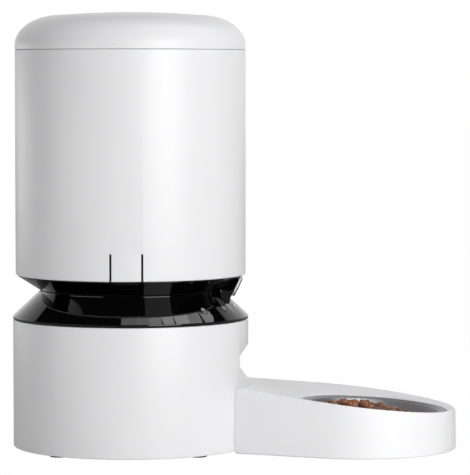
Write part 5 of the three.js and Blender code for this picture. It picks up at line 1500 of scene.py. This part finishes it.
def bowl_surface(radius):
    """Height of the bowl's inside above the table at a distance from its middle."""
    radii = [0.0, *[r for r, _ in bowl_inside]]
    heights = [bowl_wall - bowl_depth, *[z for _, z in bowl_inside]]
    return bowl_rim + float(np.interp(radius, radii, heights))


def heap_height(x, y):
    """The heap's surface: a low mound that falls away from the outlet's side."""
    reach = (Vector((x, y)) - heap_place).length / heap_reach
    return heap_top - (heap_top - heap_edge) * min(1, reach) ** 2


rest_places = []
for _ in range(kibble_tries):
    bearing = random.uniform(0, 2 * math.pi)
    out_from_middle = kibble_spread * math.sqrt(random.random())
    x, y = out_from_middle * math.cos(bearing), out_from_middle * math.sin(bearing)
    z = bowl_surface(out_from_middle + kibble_half) + kibble_half * kibble_lift
    for other in rest_places:
        apart = (other[0] - x) ** 2 + (other[1] - y) ** 2
        if apart < kibble_spacing ** 2:
            z = max(z, other[2] + math.sqrt(kibble_spacing ** 2 - apart))
    if z < heap_height(x, y):
        rest_places.append((x, y, z))
kibble_points = bpy.data.meshes.new("kibble_places")
kibble_points.from_pydata(
    [(axis_x + bowl_centre + x, y, z - x * math.tan(bowl_tilt)) for x, y, z in rest_places], [], [],
)
drawn_values = {
    "turn": ("FLOAT_VECTOR", "vector", lambda: (random.uniform(-kibble_tip, kibble_tip),
                                                random.uniform(-kibble_tip, kibble_tip),
                                                random.uniform(0, 2 * math.pi))),
    "size": ("FLOAT", "value", lambda: (random.uniform(*kibble_sizes),)),
    "tint": ("FLOAT", "value", lambda: (random.random(),)),
    "kind": ("INT", "value", lambda: (random.randrange(kibble_kinds),)),
}
for label, (kind, field, drawn) in drawn_values.items():
    values = [value for _ in rest_places for value in drawn()]
    kibble_points.attributes.new(label, kind, "POINT").data.foreach_set(field, values)


def kibble_shape(index):
    """An uneven pillow with a few lobes, about nine millimetres across."""
    shape = bmesh.new()
    bmesh.ops.create_icosphere(shape, subdivisions=2, radius=1)
    for corner in shape.verts:
        angle = math.atan2(corner.co.y, corner.co.x)
        swell = 1 + lobe_swell * math.cos(lobe_counts[index] * angle + index)
        uneven = 1 + random.uniform(-kibble_unevenness, kibble_unevenness)
        corner.co = Vector((
            corner.co.x * kibble_half * swell * uneven,
            corner.co.y * kibble_half * kibble_breadths[index] * swell * uneven,
            corner.co.z * kibble_half * kibble_flatness * uneven,
        ))
    mesh = bpy.data.meshes.new("kibble_shape")
    shape.to_mesh(mesh)
    shape.free()
    for face in mesh.polygons:
        face.use_smooth = True
    return added(f"kibble_shape_{index}", mesh)


def scattered():
    """A tree that sets one of three shapes at each resting place, turned and sized by the values drawn for it."""
    tree, given, made = geometry_tree("scattered", {
        "First": "Object", "Second": "Object", "Third": "Object", "Material": "Material",
    })
    places = tree.interface.new_socket("Geometry", in_out="INPUT", socket_type="NodeSocketGeometry")
    tree.interface.move(places, 0)
    gathered = step(tree, "JoinGeometry")
    for label in ("Third", "Second", "First"):
        picked = step(tree, "ObjectInfo", {"As Instance": True, "Object": given[label]})
        link(tree, picked.outputs["Geometry"], gathered.inputs["Geometry"])
    turn, size, kind = [
        step(tree, "InputNamedAttribute", {"Name": label}, data_type=drawn_values[label][0]).outputs["Attribute"]
        for label in ("turn", "size", "kind")
    ]
    rotation = node(tree, "EulerToRotation", {0: turn}, "Function").outputs[0]
    placed = step(tree, "InstanceOnPoints", {
        "Points": given["Geometry"], "Instance": gathered.outputs["Geometry"], "Pick Instance": True,
        "Instance Index": kind, "Rotation": rotation, "Scale": size,
    })
    return close_tree(tree, placed, given, made)


def baked_food():
    """Baked brown crumb: each piece a little lighter or darker, with a rough pitted skin."""
    material = moulded("baked_kibble", (0.21, 0.074, 0.027), 0.26, 0.0011, 0.0003, mottle=0.2)
    tree = material.node_tree
    colour = tree.nodes["Principled BSDF"].inputs["Base Color"]
    where = node(tree, "TexCoord").outputs["Object"]
    light = ramp(tree, node(tree, "Attribute", attribute_name="tint").outputs["Fac"], 0, 1, 0.5, 1.4)
    crumbs = node(tree, "TexNoise", {"Scale": 900, "Vector": where}).outputs["Fac"]
    speckle = ramp(tree, crumbs, 0.3, 0.7, 0.6, 1.35)
    shade = {0: colour.links[0].from_socket, "Scale": maths(tree, "MULTIPLY", light, speckle)}
    link(tree, node(tree, "VectorMath", shade, operation="SCALE").outputs[0], colour)
    return material


kibble_shapes = [kibble_shape(k) for k in range(kibble_kinds)]
baked = baked_food()
kibble = added("kibble", kibble_points)
grown("kibble", scattered(), dict(zip(("First", "Second", "Third"), kibble_shapes), Material=baked), kibble)
for shape in kibble_shapes:
    bpy.data.objects.remove(shape)
dress(kibble, baked, "kibble", "bowl", crease=60)
